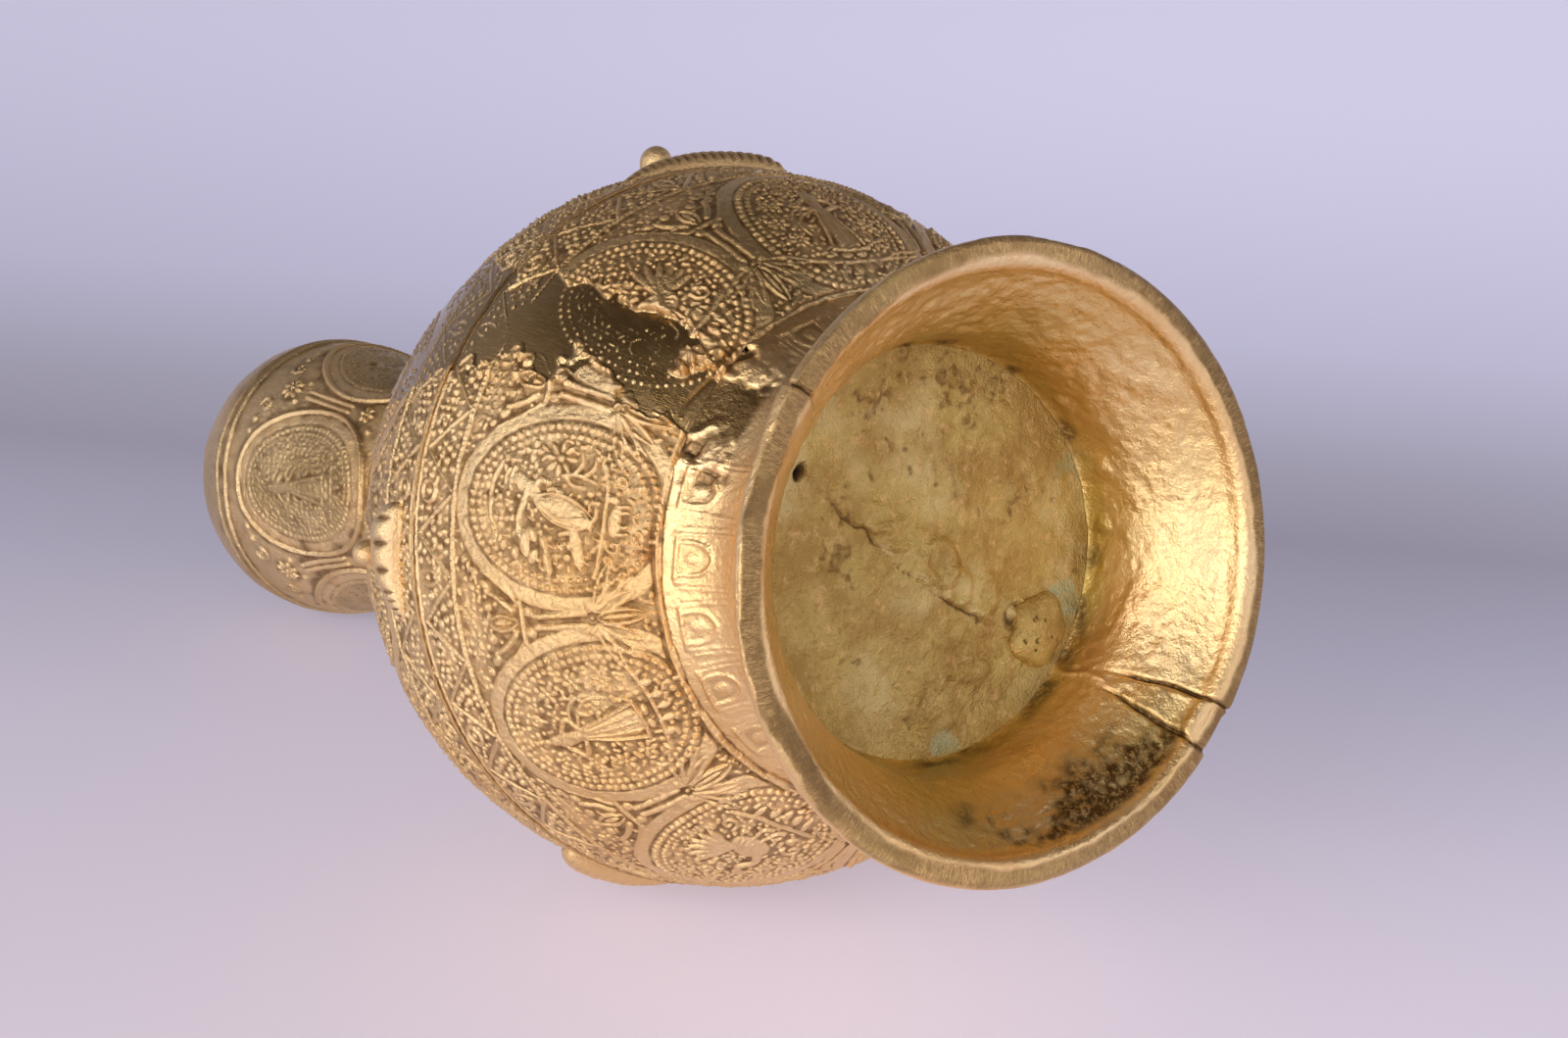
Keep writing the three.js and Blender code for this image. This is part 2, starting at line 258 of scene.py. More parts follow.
class Pen:
    """Draws relief round one point of a sheet, upright on the vase, in millimetres."""

    def __init__(self, sheet, x, y, turn=0, size=1, depth=1, mirror=1):
        self.sheet = sheet
        self.x, self.y = x, y
        self.turn = math.radians(turn)
        self.size, self.depth, self.mirror = size, depth, mirror
        self.ground = 0

    def at(self, u, v):
        """The sheet's point at a place of the motif."""
        u *= self.size * self.mirror
        v *= self.size
        c, s = math.cos(self.turn), math.sin(self.turn)
        y = self.y + s * u + c * v
        return self.x + (c * u - s * v) / self.sheet.girth(y), y

    def put(self, cells, heights):
        """Lays relief on the motif's own ground."""
        self.sheet.lift(cells, np.where(heights > 0, self.ground + self.depth * heights, 0))

    def bead(self, u, v, radius, height):
        """A round bead."""
        radius *= self.size
        cells, du, dv = self.sheet.window(*self.at(u, v), radius)
        self.put(cells, swell(np.hypot(du, dv), radius, height))

    def beads(self, places, radius, height):
        """A round bead at each place."""
        for u, v in places:
            self.bead(u, v, radius, height)

    def leaf(self, u, v, angle, length, width, height, rim=0):
        """A pointed oval that starts at a place and runs off at an angle, or with a rim only its outline."""
        turn = math.radians(angle)
        middle = (u + 0.5 * length * math.sin(turn), v + 0.5 * length * math.cos(turn))
        cells, du, dv = self.sheet.window(*self.at(*middle), 0.5 * length * self.size)
        turn = self.mirror * turn - self.turn
        along = (du * math.sin(turn) + dv * math.cos(turn)) / (0.5 * length * self.size)
        across = (du * math.cos(turn) - dv * math.sin(turn)) / (0.5 * width * self.size)
        edge = np.abs(across) / np.clip(1 - along**2, 1e-3, 1) ** 0.8
        inside = np.abs(along) < 1
        if rim:
            ridge = swell((edge - 1 + rim / width) * width / 2, rim / 2, height)
            self.put(cells, np.where(inside, ridge, 0))
        else:
            self.put(cells, np.where(inside, swell(edge, 1, height), 0))

    def oval(self, u, v, wide, tall, height, angle=0):
        """A smooth oval lump."""
        cells, du, dv = self.sheet.window(*self.at(u, v), max(wide, tall) * self.size)
        turn = self.mirror * math.radians(angle) - self.turn
        along = (du * math.sin(turn) + dv * math.cos(turn)) / (tall * self.size)
        across = (du * math.cos(turn) - dv * math.sin(turn)) / (wide * self.size)
        self.put(cells, swell(np.hypot(along, across), 1, height))

    def ring(self, u, v, radius, width, height):
        """A round ring."""
        radius *= self.size
        cells, du, dv = self.sheet.window(*self.at(u, v), radius + width)
        self.put(cells, swell(np.hypot(du, dv) - radius, width / 2, height))

    def line(self, points, width, height, taper=1.0, smooth=True):
        """A ridge through points, whose width ends as taper times its start."""
        places = [self.at(u, v) for u, v in (flow(points) if smooth else points)]
        pieces = len(places) - 1
        for i, (start, end) in enumerate(zip(places, places[1:])):
            x, y = (start[0] + end[0]) / 2, (start[1] + end[1]) / 2
            shrink = self.sheet.girth(y)
            half_u, half_v = (end[0] - start[0]) * shrink / 2, (end[1] - start[1]) / 2
            half = max(1e-6, math.hypot(half_u, half_v))
            thick = width * self.size * (1 + (taper - 1) * (i + 0.5) / pieces) / 2
            cells, du, dv = self.sheet.window(x, y, half + thick)
            t = np.clip((du * half_u + dv * half_v) / half**2, -1, 1)
            away = np.hypot(du - t * half_u, dv - t * half_v)
            self.put(cells, swell(away, thick, height))

    def curl(self, u, v, radius, start, turns, width, height):
        """A spiral that winds in to its centre."""
        count = max(4, int(abs(turns) * 9))
        angles = np.linspace(0, 2 * math.pi * turns, count) + math.radians(start)
        reach = radius * np.linspace(1, 0.2, count)
        path = list(zip(u + reach * np.cos(angles), v + reach * np.sin(angles)))
        self.line(path, width, height, 0.8, False)

    def flower(self, u, v, radius, petals, height):
        """A round flower with a bead at its centre."""
        for i in range(petals):
            angle = 360 * i / petals
            turn = math.radians(angle)
            start = 0.3 * radius
            self.leaf(u + start * math.sin(turn), v + start * math.cos(turn), angle,
                      0.75 * radius, 1.8 * radius / petals + 0.4, height)
        self.bead(u, v, 0.24 * radius, height * 1.1)

    def dotted_flower(self, u, v, radius, beads, height):
        """A ring of oval beads round one bead."""
        for i in range(beads):
            turn = 2 * math.pi * i / beads
            self.oval(u + 0.72 * radius * math.sin(turn), v + 0.72 * radius * math.cos(turn),
                      0.21 * radius, 0.3 * radius, height, math.degrees(turn))
        self.bead(u, v, 0.27 * radius, height)

    def pearls(self, wide, tall, pitch, radius, height, seed):
        """An oval row of pearls, a little uneven, as cast ones are."""
        rng = np.random.default_rng(seed)
        fine = np.linspace(0, 2 * math.pi, 721)
        steps = np.hypot(np.diff(wide * np.cos(fine)), np.diff(tall * np.sin(fine)))
        length = np.concatenate([[0], np.cumsum(steps)])
        count = round(length[-1] / pitch)
        for spot in np.arange(count) * length[-1] / count:
            angle = np.interp(spot, length, fine)
            size, rise = rng.uniform(0.84, 1.1), rng.uniform(0.7, 1.1)
            self.bead(wide * math.cos(angle), tall * math.sin(angle), radius * size, height * rise)

    def reach(self, wide, tall, margin):
        """Cells round an oval, and how far each lies outside it."""
        cells, du, dv = self.sheet.window(*self.at(0, 0), tall * self.size + margin)
        c, s = math.cos(self.turn), math.sin(self.turn)
        du, dv = c * du + s * dv, c * dv - s * du
        scale = np.hypot(du / (wide * self.size), dv / (tall * self.size)) + 1e-6
        return cells, (scale - 1) / scale * np.hypot(du, dv)

    def band(self, wide, tall, width, height, edge=0.45):
        """A flat raised band round an oval."""
        width *= self.size
        cells, away = self.reach(wide, tall, width + edge)
        self.put(cells, height * ramp(away, -edge, edge) * (1 - ramp(away, width - edge, width + edge)))

    def field(self, wide, tall, height, edge=0.25):
        """A low table over an oval; what is drawn after it stands on it."""
        cells, away = self.reach(wide, tall, edge)
        self.put(cells, height * (1 - ramp(away, -edge, edge)))
        self.ground = height * self.depth

    def sprinkle(self, wide, tall, seed, pitch, height):
        """Fills what ground is left inside an oval with small beads and dashes."""
        rng = np.random.default_rng(seed)
        cross = np.array([(0, 0), (1, 0), (-1, 0), (0, 1), (0, -1)]) * 0.5
        for v in np.arange(-tall, tall, pitch):
            for u in np.arange(-wide, wide, pitch):
                a, b = u + rng.uniform(-0.4, 0.4), v + rng.uniform(-0.4, 0.4)
                kind, turn, size = rng.random(), rng.uniform(0, 2 * math.pi), rng.uniform(0.8, 1.15)
                if (a / wide) ** 2 + (b / tall) ** 2 > 1:
                    continue
                x, y = np.array([self.at(a + p, b + q) for p, q in cross]).T
                if self.sheet.read(self.sheet.height, x, y).max() > self.ground + 0.12:
                    continue
                if kind < 0.5:
                    self.bead(a, b, 0.45 * size, height * size)
                else:
                    end = (a + 0.9 * math.cos(turn), b + 0.9 * math.sin(turn))
                    self.line([(a, b), end], 0.6, height * size)


# Motifs of the medallions, each about 23 by 31 mm


def dancer(pen):
    """A figure in a flat hat that dances with one arm out, between two flowers, over a small animal."""
    pen.oval(4, 8.6, 1.25, 1.6, 0.8)
    pen.line([(2.2, 9.8), (4.1, 10.2), (6, 9.6)], 0.9, 0.85)
    pen.line([(3, 11.2), (4.4, 11.3), (5.6, 10.8)], 0.7, 0.7)
    pen.line([(3.2, 7.4), (2.4, 5.4), (0.8, 3.8)], 2.8, 0.75, 0.9)
    pen.line([(2.8, 6.2), (-0.6, 7), (-3, 7.6), (-5.6, 7.2)], 1.5, 0.75, 0.7)
    pen.line([(3, 5), (4.2, 4.2), (4, 2.4)], 1.5, 0.75, 0.7)
    pen.leaf(0.9, 4.6, 196, 12.4, 4.9, 0.85)
    pen.leaf(1.2, 4.9, 196, 13, 5.6, 0.95, 0.7)
    pen.line([(-0.2, 2.4), (-2, -1), (-1.4, -5.6)], 0.6, 1.15)
    pen.line([(-4.6, -1), (-3.6, -4.4), (-1.6, -7.2), (0.6, -7.6)], 1, 0.8, 0.8)
    for u, v, tall, wide, angle in (
            (-6.8, 6, 2.6, 1.2, 80), (-5.2, 4.6, 1.6, 0.9, 60), (-8.9, 4.2, 1.5, 0.9, 120),
            (-8.6, 8, 1.2, 0.8, 100), (-9.8, 1.4, 2.3, 0.8, 80), (-6.4, 2.2, 1.5, 0.7, 70)):
        pen.oval(u, v, wide, tall, 0.75, angle)
    pen.flower(8.4, 1, 3.1, 8, 0.7)
    pen.dotted_flower(-8.4, -2.4, 2.9, 7, 0.65)
    pen.flower(9.2, 6.6, 1.9, 4, 0.6)
    pen.flower(-3, 11.4, 1.8, 4, 0.6)
    pen.line([(-0.6, 13.9), (3, 14.1), (6.8, 12.6)], 0.7, 0.55)
    pen.line([(-6.2, 12.4), (-3, 13.8), (0, 14.2)], 0.6, 0.5)
    for points in (((5.4, -0.2), (5.8, -3), (4.8, -6.6)), ((5.8, -2.2), (7.8, -3.4), (9.8, -3)),
                   ((5.6, -4.2), (7.4, -5.8), (9.2, -5.8)), ((5.2, -1), (4, -2.2), (3.8, -4.4)),
                   ((6.6, -8.2), (8, -7.2), (9.4, -7.4)), ((2.4, -0.6), (3, 1), (2.8, 2.4))):
        pen.line(points, 0.95, 0.7, 0.7)
    pen.leaf(-11, -5.2, 78, 9, 2.6, 0.75)
    pen.line([(-10.6, -7.6), (-6.6, -8.6), (-1, -9.1), (4.6, -8.9), (8, -7.8)], 0.8, 0.6)
    pen.oval(-1.2, -11, 2.9, 1.25, 0.85, 4)
    pen.oval(2.4, -10.4, 0.9, 1.2, 0.85)
    for u in (-3.4, -2.2, 0.2, 1.3):
        pen.line([(u, -11.6), (u + 0.2, -13.3)], 0.7, 0.7)
    pen.curl(-5.6, -11, 1.5, 60, 1.1, 0.65, 0.65)
    pen.curl(-8.2, -9.9, 1.1, 200, 1, 0.6, 0.6)
    pen.curl(5.4, -11.3, 1.3, 120, -1.1, 0.65, 0.65)
    pen.beads(((1.2, -3.4), (1.4, -5.4), (2.9, -5.9), (3.2, -7.4), (-1.2, 9.4), (0.6, 12.2), (7.2, 10.6)),
              0.6, 0.65)


def courtier(pen):
    """A standing figure in a long pleated skirt, with hands on its hips, between rows of flowers."""
    pen.oval(-1.5, 9.6, 1.1, 1.5, 0.85)
    pen.oval(-1.5, 11.6, 0.6, 1.1, 0.7)
    pen.line([(-1.5, 8), (-1.3, 5.2), (-1, 3.2)], 3.2, 0.85, 0.7)
    pen.line([(-3, 7.4), (-5.4, 5), (-2.6, 3.4)], 1.1, 0.75)
    pen.line([(0.2, 7.4), (2.4, 5.4), (0, 3.4)], 1.1, 0.75)
    pen.line([(-1, 3.4), (-1.2, -1), (-1.2, -6.5)], 3, 0.7, 1.9)
    for lean in (-1, -0.5, 0, 0.5, 1):
        pen.line([(-1 + 0.9 * lean, 3), (-1.2 + 2.2 * lean, -2), (-1.2 + 3.4 * lean, -8)], 0.6, 1, 0.9)
    pen.line([(-4.9, -8.4), (-1.2, -9), (2.6, -8.4)], 0.7, 0.9)
    pen.line([(0.3, 3.4), (3.2, 2.2), (5.2, -0.6), (4.6, -4)], 0.6, 0.65, 0.6)
    pen.line([(0.2, 4.2), (4, 4), (6, 1.4)], 0.6, 0.6, 0.6)
    pen.oval(-2.4, -10, 1.2, 0.7, 0.7)
    pen.oval(0.4, -10, 1.2, 0.7, 0.7)
    pen.flower(7.6, -4.6, 1.9, 8, 0.7)
    for u, v in ((7.6, 6.6), (8.8, 1), (-7.4, 4.2), (-8.4, -1.4), (-7, -6.6)):
        pen.flower(u, v, 1.9, 6, 0.7)
    pen.ring(2.9, 11.6, 0.9, 0.6, 0.6)
    pen.bead(2.9, 11.6, 0.4, 0.5)
    pen.flower(-5.6, 10.6, 1.6, 4, 0.6)
    pen.line([(-8.6, -10.4), (-4, -11.6), (0, -11.9), (4, -11.6), (8.4, -10.2)], 0.8, 0.6)
    for u in (-5, -2.4, 0, 2.4, 5):
        pen.leaf(u, -15 + 0.06 * u * u, 0, 2.6, 1.5, 0.6)
    pen.beads(((5, 9.4), (5.2, -7.6), (-4.6, -1), (-4.8, 1.4), (10, 4), (9.8, -1.8), (0, 14.4), (-1.6, 14.2),
               (1.6, 14.2), (-4.9, 7.6), (3.4, -6.4)), 0.5, 0.55)


def goose(pen):
    """A bird with raised tail plumes that holds a flower in its bill."""
    pen.oval(0, -1.6, 4.4, 3.1, 0.95, 12)
    pen.line([(-2.8, 0), (-4.6, 2.8), (-3.4, 5.8), (-4.4, 7.6)], 2, 0.85, 0.6)
    pen.oval(-4.8, 8.2, 1.3, 1, 0.9, 20)
    pen.line([(-5.9, 8), (-7.4, 7.2)], 0.8, 0.7, 0.5)
    pen.flower(-8.2, 4.8, 1.9, 6, 0.65)
    for i in range(6):
        angle = 12 + 17 * i
        pen.leaf(2.4, -0.4, angle, 9.4 - 0.5 * i, 1.7, 0.75)
    for i in range(4):
        pen.line([(-2.2 + i, -0.2), (-0.2 + i, -1.8), (0.6 + i, -3.4)], 0.45, 1.15)
    pen.line([(-0.8, -4.4), (-1.4, -7.6), (-2.8, -8.2)], 0.7, 0.7)
    pen.line([(1.2, -4.4), (1.2, -7.6), (-0.2, -8.3)], 0.7, 0.7)
    pen.line([(-8.6, -8.6), (-4, -9.6), (1, -9.9), (5, -9.6), (9, -8.2)], 0.9, 0.6)
    for u, v, radius, start in (
            (-8, -3.4, 1.9, 20), (-6, -6, 1.2, 220), (7.4, -5.2, 1.9, 150), (0.4, 10.6, 1.6, 90)):
        pen.curl(u, v, radius, start, 1.1, 0.65, 0.65)
    for u in (-5, -2.4, 0, 2.4, 5):
        pen.leaf(u, -14.4 + 0.06 * u * u, 0, 3, 1.6, 0.6)
    pen.flower(-2.6, 13, 1.6, 4, 0.6)
    pen.beads(((3.4, 13), (5.2, 11.2), (-7.2, 10.4), (-9.6, 0.6), (-6.2, 1.2), (0, 7), (9.6, -1.8)),
              0.5, 0.55)


FIGURES = (dancer, courtier, goose)


def medallion(sheet, x, y, figure, seed, size=1.0, depth=1.0, mirror=1):
    """An oval medallion: a plain band round a low table that holds two rows of pearls and a figure."""
    pen = Pen(sheet, x, y, size=size, depth=depth, mirror=mirror)
    pen.band(15.3, 19.65, 2.9, 0.32)
    pen.field(15.1, 19.4, 0.26)
    pen.pearls(14.2, 18.45, 1.55, 0.62, 0.6, seed)
    pen.pearls(12.55, 16.8, 1.5, 0.54, 0.52, seed + 1)
    pen.depth = 0.72 * depth
    figure(pen)
    pen.sprinkle(11.8, 16, seed + 2, 1.2, 0.66)


def spandrel(sheet, x, y, flip):
    """The ornament between two medallions: tie bars, an eye towards the frieze and a fan away from it."""
    pen = Pen(sheet, x, y, turn=0 if flip > 0 else 180, depth=0.85)
    for side in (-1, 1):
        pen.line([(1.05 * side, -4.8), (1.05 * side, 5.2)], 1.3, 0.65)
        pen.bead(1.9 * side, 6.4, 1.05, 0.75)
        pen.line([(2.2 * side, 9.8), (4.4 * side, 12.4), (5.6 * side, 15.2)], 1.3, 0.65, 0.75)
        pen.line([(3.6 * side, 8.4), (6.2 * side, 11.2), (9.4 * side, 15.8)], 0.8, 0.6, 0.8)
        pen.bead(2.9 * side, 15.4, 0.95, 0.7)
        pen.oval(6.9 * side, 15.4, 0.8, 1.3, 0.65, 40 * side)
        pen.bead(9 * side, 17.6, 0.8, 0.6)
        pen.bead(2.1 * side, -6, 1.05, 0.8)
        for angle, length in ((24, 9), (47, 10), (68, 9.5)):
            pen.leaf(0.8 * side, -6.6, 180 - side * angle, length, 2.3, 0.7, 0.75)
        pen.leaf(3 * side, -9.2, 180 - 36 * side, 6.5, 1.1, 0.55)
    pen.line([(-3.6, 7.9), (3.6, 7.9)], 1, 0.65)
    pen.leaf(0, 8.9, 0, 6.6, 3.6, 0.75, 0.9)
    pen.leaf(0, 10.3, 0, 3.8, 1.3, 0.6)
    pen.bead(0, 16.4, 0.8, 0.6)
    pen.leaf(0, -6.8, 180, 9.8, 3.3, 0.8, 0.9)
    pen.leaf(0, -8, 180, 6.4, 1.2, 0.65)


def frieze(sheet, flip, seed):
    """A zigzag of triangles filled with beads, rings and florets, between the seam and a medallion row."""
    rng = np.random.default_rng(seed)
    pitch = sheet.around / (3 * MEDALLIONS)
    half = pitch / 2
    edge = globe_y(FRIEZE_EDGE)
    near = 1.5
    turn = 0 if flip > 0 else 180
    for i in range(3 * MEDALLIONS):
        pen = Pen(sheet, (i + 0.5) * pitch, 0, turn)
        foot = (rng.uniform(-0.7, 0.7), near + 0.8)
        pen.line([(0.6 - half, edge - 1.2), foot, (half - 0.6, edge - 1.2)], 0.6, 0.5, 1, False)
        for row, count in enumerate((4, 3, 2, 1)):
            for k in range(count):
                u, v, size = rng.uniform(-0.35, 0.35), rng.uniform(-0.3, 0.3), rng.uniform(0.45, 0.85)
                rise = size * rng.uniform(0.7, 1)
                pen.bead((k - (count - 1) / 2) * 2 + u, edge - 2 - 1.7 * row + v, size, rise)
        side = Pen(sheet, i * pitch, 0, turn)
        if i % 3 == 0:
            side.ring(0, near + 3, 1.9, 0.7, 0.55)
            side.bead(0, near + 3, 0.7, 0.5)
        elif i % 3 == 1:
            side.dotted_flower(0.3, near + 3, 2.4, 6, 0.6)
        else:
            side.leaf(0, near + 0.4, 0, 6, 3.4, 0.6, 0.7)
            side.bead(0, near + 3.2, 0.6, 0.5)
        for k in (-1, 1):
            for u, v in ((3.3, 1.2), (5, 0.7), (2.9, 3.6), (4.4, 2.4)):
                u, v = u + rng.uniform(-0.4, 0.4), v + rng.uniform(-0.4, 0.4)
                side.bead(u * k, near + v, rng.uniform(0.45, 0.75), rng.uniform(0.4, 0.65))
    sheet.hoop(flip * (edge - 0.2), 0.9, 0.75, twist=1)
    sheet.hoop(flip * (near - 0.5), 0.5, 0.4)


def petal_ring(sheet, count, y, length, width, height):
    """A ring of pointed petals, each with an outline, a rib and a bead."""
    for i in range(count):
        pen = Pen(sheet, sheet.around * i / count, y)
        pen.leaf(0, 0, 0, length, width, height, 0.8)
        pen.leaf(0, 0.12 * length, 0, 0.7 * length, 0.42 * width, 0.8 * height)
        gap = Pen(sheet, sheet.around * (i + 0.5) / count, y)
        gap.line([(0, 0.35 * length), (0, length)], 0.7, 0.8 * height)
        gap.bead(0, 0.2 * length, 0.7, height)


# Sheets of the body, the foot, the base plate and the head


def globe_girth(y):
    return np.cos(np.asarray(y) / GLOBE_RADIUS)


def globe_y(latitude):
    return GLOBE_RADIUS * math.radians(latitude)


def globe_x(azimuth):
    return GLOBE_RADIUS * math.radians(azimuth)


# The strip ground smooth down the body's side: latitude, and the azimuths between which it runs there
GROUND_STRIP = ((-58, 25, 31), (-50, 21, 35.5), (-44, 23.5, 36.5), (-36, 23, 38.5), (-30, 24.5, 40),
                (-23, 24, 40), (-16, 22.5, 38), (-8, 22, 37), (-2, 20.5, 37), (6, 18, 39), (15, 14, 44),
                (30, 14, 44))
# Lumps of casting flash by the strip: azimuth, latitude, radius and height
FLASH_LUMPS = ((34.5, -41.5, 2.3, 1.1), (36.5, -45.5, 2.6, 1), (31.5, -41, 1.4, 0.7), (20.5, -36, 1.8, 0.7))


def body_sheet():
    """The body's relief, from the foot's collar to the neck."""
    low, high = globe_y(COLLAR_LATITUDE) - 2, globe_y(NECK_LATITUDE + 1.4)
    sheet = Sheet(2 * math.pi * GLOBE_RADIUS, low, high, globe_girth)
    pitch = 360 / MEDALLIONS
    for row, first in ((-1, 0), (1, pitch / 2)):
        level = globe_y(row * MEDALLION_LATITUDE)
        for i in range(MEDALLIONS):
            figure = FIGURES[(1 - i if row > 0 else -i) % len(FIGURES)]
            mirror = -1 if i % 4 == 2 else 1
            medallion(sheet, globe_x(first + pitch * i), level, figure, 40 * i + row + 1, mirror=mirror)
            spandrel(sheet, globe_x(first + pitch * (i + 0.5)), level, -row)
        frieze(sheet, row, 7 + row)
    for latitude, width, height in ((TOP_EDGE, 1, 0.6), (TOP_EDGE + 1.4, 0.6, 0.5), (69.5, 1.1, 0.6),
                                    (COLLAR_LATITUDE + 0.7, 1, 0.5)):
        sheet.hoop(globe_y(latitude), width, height)
    petal_ring(sheet, 16, globe_y(TOP_EDGE + 2.4), 15.5, 7.5, 0.7)
    for i, latitude in enumerate(range(-45, 46, 10)):
        for k in range(12):
            Pen(sheet, sheet.around * k / 12, globe_y(latitude)).sprinkle(30, 5.8, 100 * i + k, 1.7, 0.4)
    sheet.settle()
    weather_body(sheet)
    return sheet


def weather_body(sheet):
    """Casting roughness, the ground strip, and the flash left beside it."""
    azimuth, y = sheet.places()
    latitude = np.degrees(y / GLOBE_RADIUS)
    levels, *sides = zip(*GROUND_STRIP)
    low, high = (np.interp(latitude, levels, side) for side in sides)
    inside = np.minimum(azimuth - low, high - azimuth)
    inside = inside + sheet.noises((1.1, 0.9, 11), (1.6, 3.5, 12)) * ramp(latitude, 12, -6)
    ends = between(latitude, -61, -57, 20, 34)
    wear = ramp(inside, -0.2, 0.5) * ends
    edge = bell(inside + 1.2, math.sqrt(2.5)) * ends
    peaks = sheet.height - blur(sheet.height, 0.7 / GRAIN)
    faint = 0.2 - 0.12 * ramp(latitude, -14, -9)
    dots = 1.2 * np.clip(peaks - faint, 0, 0.2) * ramp(sheet.noise(2.5, 24), -1.7, -0.7)
    sheet.height *= 1 + 0.12 * sheet.noise(9, 13)
    rough = sheet.noises((0.04, 0.3, 14), (0.05, 0.9, 15), (0.1, 8, 16))
    torn = np.clip(0.5 + sheet.noise(0.8, 17), 0, 2) * ramp(latitude, -2, -12)
    cast = sheet.height + rough + 0.45 * edge * torn
    sheet.height = cast * (1 - wear) + (dots - 0.12 + 0.03 * sheet.noise(6, 20)) * wear
    uneven = 1 + 0.3 * sheet.noise(0.7, 18)
    for at, level, radius, rise in FLASH_LUMPS:
        cells, du, dv = sheet.window(globe_x(at), globe_y(level), 1.7 * radius)
        lump = uneven[cells]
        swollen = np.clip(1 - (np.hypot(du, dv * 0.8) / (radius * lump)) ** 2, 0, 1)
        sheet.height[cells] += rise * lump * swollen
        wear[cells] *= 1 - np.clip(3 * swollen, 0, 1)
    joint = bell(latitude - COLLAR_LATITUDE - 1.3 - 0.35 * sheet.noise(5, 21), 0.3)
    joint = joint * np.clip(0.5 + sheet.noise(7, 22), 0, 1)
    sheet.height -= 0.4 * joint
    sheet.dirt_and_shade = np.clip(sheet.dirt_and_shade * (1 - wear) + 0.12 * sheet.noise(0.8, 19) + 1.3 * joint, -1, 1)
    sheet.wear = wear * (1 - ramp(dots, 0.03, 0.09))
    # Browner over the lower bowl, on the side that faces up, away from the floor.
    brown = between(azimuth, 34, 50, 110, 150) * ramp(latitude, 4, -12)
    sheet.stain = np.clip(brown * (0.36 + 0.26 * sheet.noise(6, 23)), 0, 1)


class Outline:
    """A turned outline in millimetres, read by the length along it."""

    def __init__(self, radius, height, marks, side=1):
        self.radius, self.height, self.marks, self.side = radius, height, marks, side
        self.length = marks[-1]

    def spot(self, along):
        """Radius and height at a length along the outline."""
        return np.interp(along, self.marks, self.radius), np.interp(along, self.marks, self.height)

    def facing(self, along, reach=0.25):
        """The direction that the outline faces there: right of its run, or left where side is -1."""
        ahead, behind = self.spot(along + reach), self.spot(along - reach)
        dr, dz = ahead[0] - behind[0], ahead[1] - behind[1]
        size = self.side * (np.hypot(dr, dz) + 1e-9)
        return dz / size, -dr / size

    def at_height(self, height):
        """The length along the outline where it first passes a height."""
        return self.marks[np.nonzero(np.diff(self.height > height))[0][0]]


def smooth_outline(points, side=1):
    """The outline that runs smoothly through a few points."""
    path = flow(points, 24)
    steps = np.hypot(*np.diff(path, axis=0).T)
    return Outline(*path.T, np.concatenate([[0], np.cumsum(steps)]), side)


def globe_outline(low, high, radius):
    """The body's side between two latitudes."""
    angles = np.radians(np.linspace(low, high, 200))
    return Outline(radius * np.cos(angles), GLOBE_HEIGHT + radius * np.sin(angles), GLOBE_RADIUS * angles)


def foot_outline():
    """The foot's skin: from the joint under the body, down, round the rim, and up inside to the plate."""
    joint = GLOBE_RADIUS * math.cos(math.asin((GLOBE_HEIGHT - JOINT_HEIGHT) / GLOBE_RADIUS))
    return smooth_outline([
        (joint - 0.5, JOINT_HEIGHT + 0.4),
        (WAIST_RADIUS + 1.1, WAIST_HEIGHT + 6),
        (WAIST_RADIUS - 0.4, WAIST_HEIGHT),
        (WAIST_RADIUS + 0.6, WAIST_HEIGHT - 6),
        (WAIST_RADIUS + 4.1, 16),
        (RIM_RADIUS - 5, 8.2),
        (RIM_RADIUS - 0.8, 3.6),
        (RIM_RADIUS - 0.3, 1.6),
        (RIM_RADIUS - 1.2, 0.35),
        (RIM_RADIUS - 3, 0.15),
        (RIM_INNER + 0.9, 0.35),
        (RIM_INNER - 0.2, 1.4),
        (RIM_INNER - 1.6, 4),
        (PLATE_RADIUS + 6.6, 10),
        (PLATE_RADIUS + 2.3, 17),
        (PLATE_RADIUS + 1.2, PLATE_HEIGHT - 4.5),
        (PLATE_RADIUS + 0.7, PLATE_HEIGHT - 2),
        (PLATE_RADIUS + 0.2, PLATE_HEIGHT - 0.5),
        (PLATE_RADIUS - 0.6, PLATE_HEIGHT + 0.6),
    ], side=-1)


PANELS = 22  # round the collar
LOST_PANELS = (1, 2)  # those that the ground strip and its crusts cover
COLLAR_STRIP = (20.5, 36.5)  # azimuths between which the strip runs on over the collar
NOTCH_AZIMUTH = 27  # of the notch across from the split
# Low lumps on the foot's inner wall: azimuth, height, radius and rise
WALL_LUMPS = ((150, 21.5, 2.6, 0.6), (166, 24, 2.2, 0.5), (128, 23.5, 1.8, 0.4), (96, 22, 2.2, 0.4))


